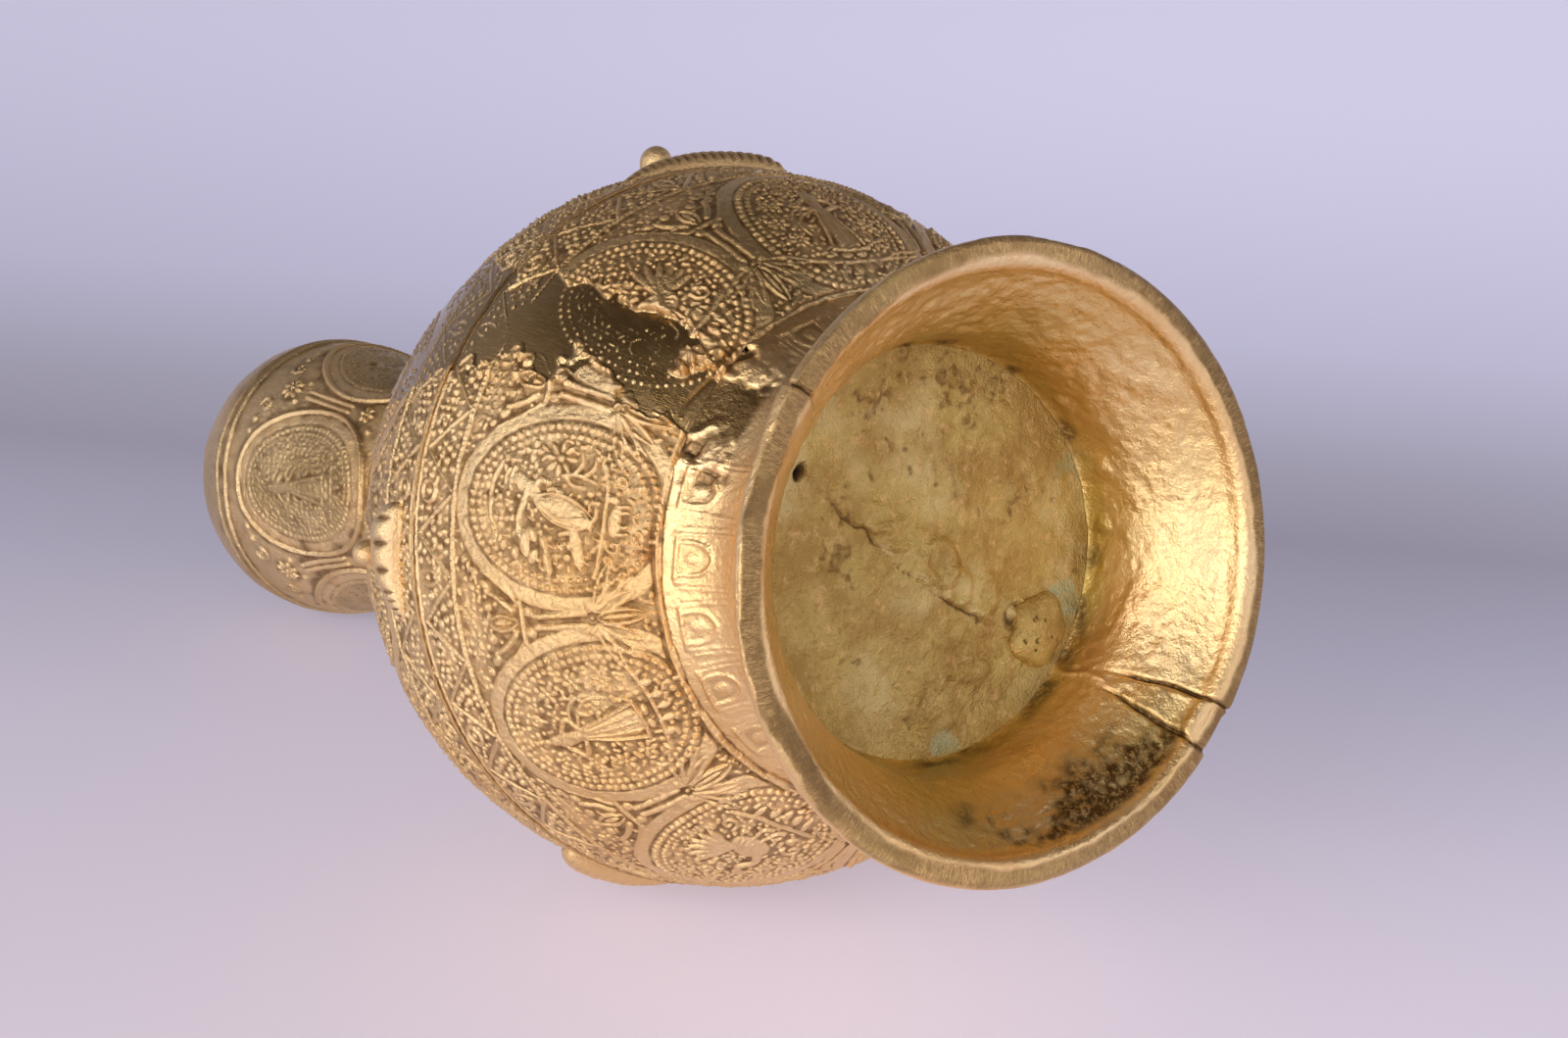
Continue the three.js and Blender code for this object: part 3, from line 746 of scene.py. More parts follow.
def foot_sheet(outline):
    """The foot's relief: a collar of arched panels, ribs down to the rim, and the rough inside."""

    def girth(y):
        return outline.spot(-np.asarray(y))[0] / WAIST_RADIUS

    sheet = Sheet(2 * math.pi * WAIST_RADIUS, -outline.length, 0, girth)
    for i in range(PANELS):
        if i not in LOST_PANELS:
            panel(Pen(sheet, sheet.around * (i + 0.5) / PANELS, 0), i)
    azimuth, y = sheet.places()
    height = outline.spot(-y)[1]
    rim_turn = outline.at_height(0.5)
    past = -y - rim_turn
    ragged = past + sheet.noises((0.35, 3, 33), (0.12, 0.6, 34))
    inside = ramp(past, 4, 9)
    lip = between(ragged, -1.2, -0.5, 2.4, 3.4)
    sheet.settle(0.2, 1.4)
    by_plate = ramp(height, PLATE_HEIGHT - 5, PLATE_HEIGHT - 1)
    lumps = sheet.noises((0.14, 9, 21), (0.04, 2.2, 22), (0.05, 0.55, 23))
    lumps = lumps + between(azimuth, 45, 75, 135, 160) * sheet.noises((0.08, 0.9, 29), (0.09, 3, 30))
    lumps = lumps + 0.07 * sheet.noise(1.1, 38) * ramp(sheet.noise(6, 39), -0.3, 0.8)
    smooth = sheet.noises((0.1, 9, 24), (0.02, 0.4, 25))
    worn = sheet.noises((0.16, 12, 26), (0.04, 2, 27))
    sheet.height += inside * lumps * (1 - 0.4 * by_plate) + (1 - inside) * (smooth * (1 - lip) + worn * lip)
    broken = ramp(sheet.noise(5, 67), -0.6, 0.6)
    sheet.height -= 0.14 * broken * ramp(ragged, 2.6, 3.6) * (1 - ramp(past, 6, 10))
    crack = crack_foot(sheet, outline, rim_turn)
    sheet.wear = lip
    speckle = 0.9 + sheet.noises((0.3, 0.7, 28), (0.22, 4, 40))
    soot = between(azimuth, -158, -142, -108, -84) * np.clip(ramp(height, 17, 1) * speckle, 0, 1)
    sheet.height += 0.16 * inside * soot * np.clip(sheet.noise(0.8, 69), -1, 2)
    orange = between(azimuth, -128, -104, -66, -40) * ramp(height, 26, 6)
    stain = inside * (1.2 * soot - orange * (0.7 + 0.3 * sheet.noise(4, 35)))
    # Painted shade, in blotches, where the foot's wall meets the plate; the soot colour lays it.
    plate_corner_shade = inside * by_plate * np.clip(0.1 + 0.3 * sheet.noise(1.4, 68), 0, 0.6)
    sheet.stain = np.clip(np.maximum(stain, np.maximum(crack, plate_corner_shade)), -1, 1)
    olive = inside * ramp(height, PLATE_HEIGHT - 6, PLATE_HEIGHT - 1.5)
    sheet.patina = np.clip(olive + 0.3 * inside * (1 + sheet.noise(8, 36)), 0, 1)
    grind_collar(sheet, azimuth, y)
    return sheet


def grind_collar(sheet, azimuth, y):
    """Carries the body's ground strip on over the collar, between crusts of casting flash."""
    low, high = COLLAR_STRIP
    aside = np.minimum(azimuth - low, high - azimuth) + sheet.noises((0.9, 0.9, 61), (1.2, 3, 62))
    down = ramp(y, -12, -8)
    ground = ramp(aside, -0.2, 0.6) * down
    beside = bell(aside + 6, 6) * down
    crust = beside * np.clip(0.5 + sheet.noises((1, 0.9, 63), (0.4, 0.45, 65)), -0.5, 2)
    sheet.height += 0.42 * crust - (0.15 + sheet.height) * ground
    sheet.dirt_and_shade = np.clip(sheet.dirt_and_shade * (1 - ground) + beside - 1.1 * crust, -1, 1)
    sheet.patina -= 0.8 * ground


def panel(pen, number):
    """One panel of the collar: a bar, an arch round a lump, and pairs of ribs that run on to the rim."""
    uneven = (0, 0.25, -0.2, 0.1)[number % 4]
    half = 3.4 + uneven
    pen.line([(-half, -2.6), (half, -2.9 - uneven)], 0.9, 0.42, 1, False)
    for side in (-1, 1):
        for away, width in ((0.5, 0.8), (1.5, 0.6)):
            run = half + away
            path = [(side * run, -2 - away), (side * (run + 0.1), -13), (side * (run + 0.6), -27)]
            pen.line(path, width, 0.24, 0.4)
    reach = 9.4 + 2 * uneven
    arch = [(-2.7, -2.9), (-2.8, -0.6 * reach), (-2, -0.86 * reach), (0, -reach),
            (2, -0.86 * reach), (2.8, -0.6 * reach), (2.7, -2.9)]
    pen.line(arch, 0.8, 0.36, 1)
    pen.oval(0, -5.9, 1.1, 1.6, 0.32)


def crack_foot(sheet, outline, rim_turn):
    """The split in the rim with its let-in tongue, the notch across from it, and the weld up the inside.

    Returns how far each cell lies in a crack."""
    azimuth, y = sheet.places()
    radius, height = outline.spot(-y)
    across = np.radians((azimuth - SPLIT_AZIMUTH + 180) % 360 - 180) * radius
    half = 4.2 - 0.15 * height
    crack = 0
    uneven = 0.25 * sheet.noise(2, 31)
    in_rim = ramp(height, 19, 15)
    for side in (-1, 1):
        away = across - side * half + uneven
        groove = bell(away, 0.42) * ramp(height, 20, 9) * in_rim
        sheet.height -= 0.9 * groove
        sheet.dirt_and_shade = np.maximum(sheet.dirt_and_shade, groove)
        crack = np.maximum(crack, ramp(groove, 0.3, 0.8))
    tongue = ramp(half - np.abs(across), 0, 0.8) * in_rim
    inner = ramp(-y, rim_turn + 3, rim_turn + 6)
    knobbly = 0.35 + 0.2 * sheet.noise(1.5, 37)
    sheet.height += tongue * (inner * knobbly * ramp(height, 15, 6) - (1 - inner) * 0.7 * ramp(height, 3, 1))
    weld = bell(across + 0.8 * sheet.noise(3, 32), 0.5) * ramp(height, 14, 18)
    sheet.height += 0.3 * inner * weld
    notch = np.radians(azimuth - NOTCH_AZIMUTH) * radius
    cut = bell(notch, 0.4) * ramp(height, 9, 1)
    sheet.height -= 1.1 * cut
    sheet.dirt_and_shade = np.maximum(sheet.dirt_and_shade, cut)
    sheet.height += 0.5 * ramp(-notch, 0, 0.8) * ramp(-notch, 12, 2) * ramp(height, 8, 2)
    for at, up, size, rise in WALL_LUMPS:
        lump = np.hypot(np.radians(azimuth - at) * radius, height - up) / size
        sheet.height += inner * rise * np.clip(1 - lump**2, 0, 1) ** 1.5
    return np.maximum(crack, ramp(cut, 0.3, 0.9))


# Points of the crack over the base plate, as y and x
PLATE_CRACK = ((-36, 16), (-26, 9.6), (-17.5, 4.8), (-8.5, -0.2), (-0.5, -4.5), (5, -6.5), (12, -9.6),
               (20, -10.5))
# Soft swirls on the plate: x, y, half width, half height and rise
PLATE_SWIRLS = ((-1.8, 3, 4.6, 4, 0.8), (-5.4, 8.4, 3.4, 3, 0.7), (-5.2, 14.5, 3.8, 3, 0.5),
                (2.6, -4, 3, 4.4, 0.5), (5, -10, 2.6, 5, 0.4), (-19, 12, 2, 5, 0.4))
PLATE_PIT = (-9.2, 21.6)  # x and y
PLATE_HOLE = (10.6, -27.2)
PLATE_THICKNESS = 2.5
PLATE_STEPS = 420  # round its mesh
# Copper bloom on the plate: x, y and radius
BLOOMS = ((-5.4, 29.6, 3.2), (17.5, 31.5, 2.6), (-32.6, 9.2, 2))
# Specks on the plate: where each patch lies, its radius and its strength
DIRT = ((29, -8, 6, 0.9), (29, 2, 6, 0.9), (25, -17, 4, 0.9), (31, 10, 3, 0.6), (18, 4, 8, 0.45),
        (27, -2, 9, 0.5), (-25, 4, 5, 0.5), (-20, -12, 2.5, 0.9), (-26, -13, 2, 0.7), (-30, 12, 4, 0.4),
        (-12, 24, 3, 0.4))


def plate_sheet():
    """The base plate's rough cast face: a crack with a low step across it, soft swirls, pits and blooms."""
    size = 2 * PLATE_RADIUS + 4
    sheet = Sheet(size, -size / 2, size / 2, lambda y: 1 + 0 * np.asarray(y))
    x = np.arange(sheet.columns) * sheet.step
    x = np.where(x > size / 2, x - size, x)[None, :]
    y = (sheet.low + np.arange(sheet.rows) * GRAIN)[:, None]
    seam = np.interp(y, *np.array(PLATE_CRACK).T)
    away = x - seam + sheet.noises((0.35, 0.8, 41), (0.6, 4, 42))
    reach = ramp(y, 20, 14)
    groove = bell(away, 0.22) * reach * np.clip(0.8 + 0.5 * sheet.noise(2.5, 47), 0, 1.2)
    step = ramp(away, -0.2, 1) * reach * ramp(away, 12, 2)
    sheet.height = sheet.noises((0.1, 0.7, 43), (0.12, 2.5, 44), (0.04, 0.3, 45), (0.3, 10, 46))
    sheet.height += 0.3 * step - 0.5 * groove
    for at_x, at_y, wide, tall, rise in PLATE_SWIRLS:
        far = np.hypot((x - at_x) / wide, (y - at_y) / tall) + 0.12 * sheet.noise(2, 50)
        sheet.height += rise * (ramp(far, 1.25, 0.75) - 0.6 * ramp(far, 0.8, 0.1))
    pit_x, pit_y = PLATE_PIT
    away = np.hypot(x - pit_x, y - pit_y)
    sheet.height += 0.8 * bell(away - 3.1, 0.9) - 0.7 * bell(away, 2.4)
    away = np.hypot(x - pit_x - 0.6, y - pit_y + 0.3)
    sheet.height += 1.4 * np.clip(1 - (away / 1.3) ** 2, 0, 1) ** 0.7
    hole = np.hypot((x - PLATE_HOLE[0]) / 1.3, y - PLATE_HOLE[1]) + 0.25 * sheet.noise(0.8, 55)
    sheet.height -= 1.7 * np.clip(1.5 - hole, 0, 1)
    depth = blur(sheet.height, 6) - sheet.height
    sheet.dirt_and_shade = np.maximum(np.clip(depth / 0.45, -1, 1), 1.2 * groove)
    sheet.dirt_and_shade = np.maximum(sheet.dirt_and_shade, np.clip(3 - 2 * hole, 0, 1))
    # The plate's wear field carries painted shade: near black where the shallow dip of the hole lies.
    sheet.wear = np.clip(1.4 - hole, 0, 1)
    deposit = np.clip(0.5 + 0.7 * sheet.noise(1, 59), 0, 1) * ramp(y, -16, -6)
    # Paler over the small dome beside the pit, and along the crack.
    sheet.patina = np.maximum(bell(away, 3), deposit * bell(x - seam - 0.5, 0.55) * reach)
    bloom = 0
    for at_x, at_y, radius in BLOOMS:
        away = np.hypot(x - at_x, y - at_y) / radius + 0.4 * sheet.noise(1.6, 48)
        bloom = np.maximum(bloom, ramp(away, 1.7, 0.3))
    dirt = 0.7 * ramp(sheet.noises((1, 0.5, 49), (0.8, 4, 56)), 2.1, 3.2)
    ragged, fine = 0.4 * sheet.noise(1.2, 57), ramp(sheet.noise(0.4, 58), -0.2, 1.1)
    for at_x, at_y, radius, amount in DIRT:
        away = np.hypot(x - at_x, y - at_y) / radius + ragged
        dirt = np.maximum(dirt, amount * ramp(away, 1.1, 0.1) * fine)
    sheet.stain = np.clip(bloom - dirt, -1, 1)
    return sheet


# Ridges round the head and neck: height on the vase, width and rise
HEAD_RIDGES = ((237.5, 1.2, 0.5), (241, 1, 0.35), (190, 1.2, 0.5), (187.5, 0.7, 0.4), (166, 2, 0.8),
               (162.5, 1.2, 0.6), (169.5, 1.2, 0.6), (155.5, 1, 0.5))


def head_outline():
    """The neck and head: from the joint on the body up to the mouth's lip."""
    top = VASE_HEIGHT - 3.5
    last = math.acos((LIP_RADIUS - 0.8) / HEAD_RADIUS)
    tall = (top - HEAD_HEIGHT) / math.sin(last)
    turns = [last * share for share in (0.25, 0.5, 0.75, 1)]
    dome = [(HEAD_RADIUS * math.cos(turn), HEAD_HEIGHT + tall * math.sin(turn)) for turn in turns]
    return smooth_outline([
        (21.3, NECK_START - 0.3),
        (NECK_RADIUS + 1.6, NECK_START + 6),
        (NECK_RADIUS, NECK_WAIST),
        (NECK_RADIUS + 0.8, NECK_WAIST + 12),
        (NECK_RADIUS + 5, NECK_WAIST + 30),
        (HEAD_RADIUS - 4.6, HEAD_MEDALLION_HEIGHT),
        (HEAD_RADIUS - 0.9, HEAD_HEIGHT - 12),
        (HEAD_RADIUS, HEAD_HEIGHT),
        *dome,
        (LIP_RADIUS, top + 0.9),
        (LIP_RADIUS + 0.1, VASE_HEIGHT - 1),
        (LIP_RADIUS - 0.9, VASE_HEIGHT),
        (MOUTH_RADIUS + 0.9, VASE_HEIGHT),
        (MOUTH_RADIUS, VASE_HEIGHT - 1),
        (MOUTH_RADIUS, VASE_HEIGHT - 5),
    ])


def head_sheet(outline):
    """The head's relief: four medallions, florets between them, and ridges round its ends and the neck."""

    def girth(y):
        return outline.spot(np.asarray(y))[0] / HEAD_RADIUS

    sheet = Sheet(2 * math.pi * HEAD_RADIUS, 0, outline.length, girth)
    middle = outline.at_height(HEAD_MEDALLION_HEIGHT)
    quarter = sheet.around / HEAD_MEDALLIONS
    first = sheet.around * HEAD_MEDALLION_TURN / 360
    frame_line = [(15.9 * math.cos(t), 19.4 * math.sin(t)) for t in np.linspace(0, 2 * math.pi, 41)]
    for i in range(HEAD_MEDALLIONS):
        x = first + quarter * i
        medallion(sheet, x, middle, FIGURES[(i + 1) % len(FIGURES)], 90 + i, size=0.84, depth=0.55)
        Pen(sheet, x, middle).line(frame_line, 1, 0.75, 1, False)
        gap = Pen(sheet, x + quarter / 2, middle)
        gap.flower(0, 12.5, 2.6, 8, 0.6)
        gap.flower(0, -12.5, 1.9, 6, 0.6)
        for side in (-1, 1):
            gap.line([(0.8 * side, -7), (0.8 * side, 7)], 0.8, 0.5)
            gap.curl(5.4 * side, 16.6, 2, 90, 1.1 * side, 0.7, 0.55)
            gap.bead(2.6 * side, 9.2, 0.7, 0.5)
            gap.bead(8.8 * side, 17.8, 0.9, 0.55)
            gap.bead(3.4 * side, -16, 0.7, 0.5)
            gap.bead(11.6 * side, 18.4, 0.7, 0.5)
    for height, width, rise in HEAD_RIDGES:
        sheet.hoop(outline.at_height(height), width, rise, pieces=96)
    petal_ring(sheet, 10, outline.at_height(171.5), 14, 7.4, 0.6)
    sheet.settle(0.16, 1.3)
    sheet.height += sheet.noises((0.024, 0.36, 51), (0.05, 2, 52), (0.14, 8, 53))
    sheet.dirt_and_shade = np.clip(sheet.dirt_and_shade + 0.12 * sheet.noise(0.8, 54), -1, 1)
    azimuth, y = sheet.places()
    quarter_turn = 360 / HEAD_MEDALLIONS
    across = (azimuth - HEAD_MEDALLION_TURN + quarter_turn / 2) % quarter_turn - quarter_turn / 2
    across = np.radians(across) * HEAD_RADIUS * girth(y)
    oval = np.hypot(across / 13, (y - middle) / 16.5)
    in_medallion = ramp(oval, 1.05, 0.8) * np.clip(0.75 + 0.2 * sheet.noise(3, 55), 0, 1)
    # Painted shade: the head darkens towards its mouth, laid with the browner colour of its medallions.
    mouth_shade = ramp(y, outline.at_height(222), outline.at_height(242)) * (0.5 + 0.2 * sheet.noise(6, 66))
    sheet.stain = np.clip(np.maximum(in_medallion, mouth_shade), 0, 1)
    return sheet


# Meshes


def turn_full(bm, steps, sectors=12):
    """Spins an outline a full turn: first one sector in fine steps, and then copies of that sector."""
    settings = {"cent": (0, 0, 0), "axis": (0, 0, 1), "dvec": (0, 0, 0)}
    bmesh.ops.spin(bm, geom=bm.verts[:] + bm.edges[:], angle=2 * math.pi / sectors,
                   steps=max(1, steps // sectors), use_merge=False, use_duplicate=False, **settings)
    bmesh.ops.spin(bm, geom=bm.verts[:] + bm.edges[:] + bm.faces[:], angle=2 * math.pi, steps=sectors,
                   use_merge=True, use_duplicate=True, **settings)
    bmesh.ops.remove_doubles(bm, verts=bm.verts[:], dist=2e-6)
    bmesh.ops.recalc_face_normals(bm, faces=bm.faces[:])


def mesh_of(name, bm):
    """A smooth mesh from a bmesh, which it frees."""
    mesh = bpy.data.meshes.new(name)
    bm.to_mesh(mesh)
    bm.free()
    mesh.shade_smooth()
    return mesh


def closed_piece(name, bm):
    """An object from a closed bmesh, with its faces turned outwards."""
    bmesh.ops.recalc_face_normals(bm, faces=bm.faces[:])
    return place(name, mesh_of(name, bm))


def read_points(mesh, field="co"):
    """The places of a mesh's vertices, or their normals."""
    values = np.empty(len(mesh.vertices) * 3)
    mesh.vertices.foreach_get(field, values)
    return values.reshape(-1, 3)


def store_fields(mesh, sheet, skin, x, y):
    """Keeps what a sheet holds for the materials on the skin's vertices."""
    for label in FIELDS:
        values = np.zeros(len(skin), np.float32)
        values[skin] = sheet.read(getattr(sheet, label), x, y)
        mesh.attributes.new(label, "FLOAT", "POINT").data.foreach_set("value", values)


def turned_skin(name, outline, sheet, start, end, spacing, steps, inner, sign=1):
    """A piece turned from an outline, with its relief, and closed by a plain inner wall.

    start and end are lengths along the outline. The sheet's y is sign times that length."""
    bm = bmesh.new()
    layer = bm.verts.layers.float.new("along")
    rows = max(2, round(abs(end - start) / spacing) + 1)
    chain = []
    for along in np.linspace(start, end, rows):
        radius, height = outline.spot(along)
        vert = bm.verts.new((0, -radius * MM, height * MM))
        vert[layer] = along - start + 1
        chain.append(vert)
    for radius, height in inner:
        chain.append(bm.verts.new((0, -radius * MM, height * MM)))
    for a, b in zip(chain, chain[1:] + chain[:1]):
        bm.edges.new((a, b))
    turn_full(bm, steps)
    mesh = mesh_of(name, bm)
    cast(mesh, outline, sheet, start, sign)
    return place(name, mesh)


def cast(mesh, outline, sheet, start, sign):
    """Moves a turned mesh's skin to its relief, and keeps its shading and its pattern coordinates."""
    spots = read_points(mesh)
    along = np.empty(len(spots))
    mesh.attributes["along"].data.foreach_get("value", along)
    skin = along > 0
    along = along - 1 + start
    azimuth = np.arctan2(spots[:, 0], -spots[:, 1])

    def surface(turn, length):
        radius, height = outline.spot(length)
        out, up = outline.facing(length)
        rise = sheet.read(sheet.height, turn / (2 * math.pi) * sheet.around, sign * length)
        reach = radius + rise * out
        level = np.clip(height + rise * up, 0, VASE_HEIGHT)
        return np.stack([reach * np.sin(turn), -reach * np.cos(turn), level], 1) * MM

    turn, length = azimuth[skin], along[skin]
    spots[skin] = surface(turn, length)
    mesh.vertices.foreach_set("co", spots.ravel())
    mesh.update()
    normals = read_points(mesh, "normal")
    small = 0.12
    reach = small / np.maximum(5, outline.spot(length)[0])
    across = surface(turn + reach, length) - surface(turn - reach, length)
    up = surface(turn, length + small) - surface(turn, length - small)
    facing = np.cross(across, up)
    facing /= np.linalg.norm(facing, axis=1)[:, None] + 1e-12
    facing *= np.sign(np.sum(facing * normals[skin], axis=1))[:, None]
    normals[skin] = facing
    store_fields(mesh, sheet, skin, turn / (2 * math.pi) * sheet.around, sign * length)
    wrap_pattern(mesh, azimuth, along)
    mesh.attributes.remove(mesh.attributes["along"])
    mesh.normals_split_custom_set_from_vertices(normals.tolist())


def wrap_pattern(mesh, azimuth, along):
    """A UV map in turns round the vase and centimetres along it, unbroken where it closes."""
    corner = np.empty(len(mesh.loops), np.int32)
    mesh.loops.foreach_get("vertex_index", corner)
    first = np.empty(len(mesh.polygons), np.int32)
    sides = np.empty(len(mesh.polygons), np.int32)
    mesh.polygons.foreach_get("loop_start", first)
    mesh.polygons.foreach_get("loop_total", sides)
    turn = azimuth[corner] / (2 * math.pi)
    face = np.repeat(np.arange(len(first)), sides)
    low = np.minimum.reduceat(turn, first)
    turn = np.where((turn - low[face]) > 0.5, turn - 1, turn)
    uv = mesh.uv_layers.new(name="wrap")
    uv.data.foreach_set("uv", np.stack([turn, along[corner] / 10], 1).ravel().astype(np.float32))


def place(name, mesh):
    piece = bpy.data.objects.new(name, mesh)
    bpy.context.scene.collection.objects.link(piece)
    return piece


def keep(piece, material, slot, *nodes):
    """Finishes a piece: its material, its body, and the CAD nodes that it stands for."""
    piece.data.materials.clear()
    piece.data.materials.append(material)
    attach(piece, "root")
    if nodes:
        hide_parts(*nodes)
    return piece


# Materials


class Recipe:
    """Builds a material's nodes."""

    def __init__(self, name):
        self.material = bpy.data.materials.new(name)
        self.material.use_nodes = True
        self.tree = self.material.node_tree
        self.shader = self.tree.nodes["Principled BSDF"]
        self.spot = self.node("ShaderNodeTexCoord").outputs["Object"]

    def node(self, kind, inputs=None, **settings):
        node = self.tree.nodes.new(kind)
        for key, value in settings.items():
            setattr(node, key, value)
        for key, value in (inputs or {}).items():
            self.set(node, key, value)
        return node

    def set(self, node, key, value):
        if isinstance(value, bpy.types.NodeSocket):
            self.tree.links.new(value, node.inputs[key])
        else:
            node.inputs[key].default_value = value

    def noise(self, scale, detail=4, roughness=0.55, vector=None, distortion=0):
        inputs = {"Vector": vector or self.spot, "Scale": scale, "Detail": detail, "Roughness": roughness,
                  "Distortion": distortion}
        return self.node("ShaderNodeTexNoise", inputs).outputs["Fac"]

    def stretch(self, source, scale):
        return self.node("ShaderNodeMapping", {"Vector": source, "Scale": scale}).outputs["Vector"]

    def wrap(self):
        return self.node("ShaderNodeUVMap", uv_map="wrap").outputs["UV"]

    def field(self, name):
        return self.node("ShaderNodeAttribute", attribute_name=name).outputs["Fac"]

    def limit(self, value, low, high, start=0.0, end=1.0):
        inputs = {"Value": value, "From Min": low, "From Max": high, "To Min": start, "To Max": end}
        return self.node("ShaderNodeMapRange", inputs, interpolation_type="SMOOTHSTEP").outputs["Result"]

    def maths(self, kind, a, b):
        return self.node("ShaderNodeMath", {0: a, 1: b}, operation=kind).outputs[0]

    def times(self, a, b):
        return self.maths("MULTIPLY", a, b)

    def mix(self, factor, a, b):
        node = self.node("ShaderNodeMix", data_type="RGBA")
        self.set(node, 0, factor)
        self.set(node, 6, a)
        self.set(node, 7, b)
        return node.outputs[2]

    def patch(self, color, paint, value, low, high, share=1.0):
        """Lays a paint over a colour where a value runs from low to high, up to a share of it."""
        return self.mix(self.limit(value, low, high, 0, share), color, paint)

    def bump(self, height, strength, distance, under=None):
        inputs = {"Height": height, "Strength": strength, "Distance": distance}
        if under:
            inputs["Normal"] = under
        return self.node("ShaderNodeBump", inputs).outputs["Normal"]

    def finish(self, color, roughness, normal, metallic=1.0):
        self.set(self.shader, "Base Color", color)
        self.set(self.shader, "Roughness", roughness)
        self.set(self.shader, "Metallic", metallic)
        self.set(self.shader, "Normal", normal)
        return self.material


def relief_bronze(finish):
    """Gilt cast bronze: bright where it is rubbed, darkened in its recesses by dirt and painted shade,
    scratched where it was ground.
    """
    r = Recipe("gilt cast bronze")
    dirt_and_shade, wear, stain = r.field("dirt_and_shade"), r.field("wear"), r.field("stain")
    gold = r.patch(finish.gilt, finish.pale_gilt, r.noise(22, 3), 0.35, 0.68)
    gold = r.patch(gold, finish.red_gilt, r.noise(90, 5), 0.55, 0.8, 0.6)
    # Browner where the bronze is tarnished, and painted shade towards the head's mouth.
    gold = r.mix(r.times(stain, 0.8), gold, finish.tarnish_and_shade)
    # Dirt and painted shade: the hollows are darkened towards the colour of recesses.
    hollow_dirt_shade = r.times(r.limit(dirt_and_shade, 0.05, 0.75), r.limit(r.noise(420, 3), 0.3, 0.7, 0.6, 1))
    color = r.mix(r.times(hollow_dirt_shade, 0.92), gold, finish.dirt_and_shade)
    lines = r.noise(1, 3, 0.7, r.stretch(r.wrap(), (1100, 2.4, 1)), 0.3)
    ground = r.patch(finish.ground, finish.gilt, lines, 0.52, 0.7, 0.35)
    color = r.mix(r.times(wear, 0.95), color, ground)
    cast = r.maths("SUBTRACT", 1, wear)
    rough = r.limit(r.noise(160, 4), 0.3, 0.75, finish.polish, finish.polish + 0.14)
    rough = r.maths("ADD", rough, r.times(hollow_dirt_shade, 0.2))
    rough = r.maths("SUBTRACT", rough, r.times(wear, 0.08))
    scratches = r.noise(1, 3, 0.65, r.stretch(r.wrap(), (1500, 4, 1)))
    normal = r.bump(r.noise(1100, 4, 0.6), r.times(cast, 0.5), 0.0006)
    normal = r.bump(r.noise(3200, 3, 0.65), r.times(cast, 0.7), 0.0003, normal)
    normal = r.bump(scratches, r.times(wear, 0.3), 0.0003, normal)
    return r.finish(color, rough, normal)


def foot_bronze(finish):
    """The foot: gilt outside, filed round the rim, and rough with orange and dark stains inside, with painted
    shade in its hollows and where the wall meets the plate.
    """
    r = Recipe("foot bronze")
    dirt_and_shade, wear, stain, patina = (r.field(name) for name in FIELDS)
    gold = r.patch(finish.gilt, finish.pale_gilt, r.noise(30, 4), 0.35, 0.68)
    color = r.patch(gold, finish.red_gilt, r.noise(48, 5, 0.6, None, 0.6), 0.5, 0.75, 0.5)
    green = r.times(patina, r.limit(r.noise(60, 5, 0.6), 0.25, 0.6, 0.5, 1))
    color = r.mix(green, color, finish.olive)
    # Dirt and painted shade darken the foot's hollows.
    color = r.patch(color, finish.dirt_and_shade, dirt_and_shade, 0.2, 1, 0.8)
    color = r.patch(color, finish.ground, patina, -0.1, -0.7)
    files = r.noise(1, 5, 0.75, r.stretch(r.wrap(), (1300, 5, 1)), 1.6)
    filed = r.patch(finish.dark_filed, finish.filed, files, 0.4, 0.64)
    filed = r.patch(filed, finish.olive, r.noise(38, 4), 0.45, 0.6, 0.35)
    filed = r.patch(filed, finish.dark_filed, r.noise(75, 5, 0.65), 0.46, 0.62, 0.8)
    color = r.mix(r.times(wear, 0.9), color, filed)
    # The soot colour lays real soot, the dark of the cracks, and the painted shade where the wall meets the
    # plate.
    soot = r.times(r.limit(stain, 0.05, 0.8), r.limit(r.noise(900, 5, 0.7), 0.34, 0.56, 0.3, 1))
    color = r.mix(soot, color, finish.soot)
    rust = r.times(r.limit(stain, 0, -0.8), r.limit(r.noise(130, 5, 0.6), 0.3, 0.65, 0.4, 0.9))
    color = r.mix(rust, color, finish.rust)
    rough = r.limit(r.noise(120, 4), 0.3, 0.75, finish.polish, finish.polish + 0.16)
    rough = r.maths("ADD", rough, r.times(soot, 0.2))
    normal = r.bump(r.noise(900, 4, 0.6), 0.55, 0.0005)
    normal = r.bump(r.noise(3000, 3, 0.65), 0.4, 0.0003, normal)
    normal = r.bump(files, r.times(wear, 0.8), 0.0005, normal)
    return r.finish(color, rough, normal)


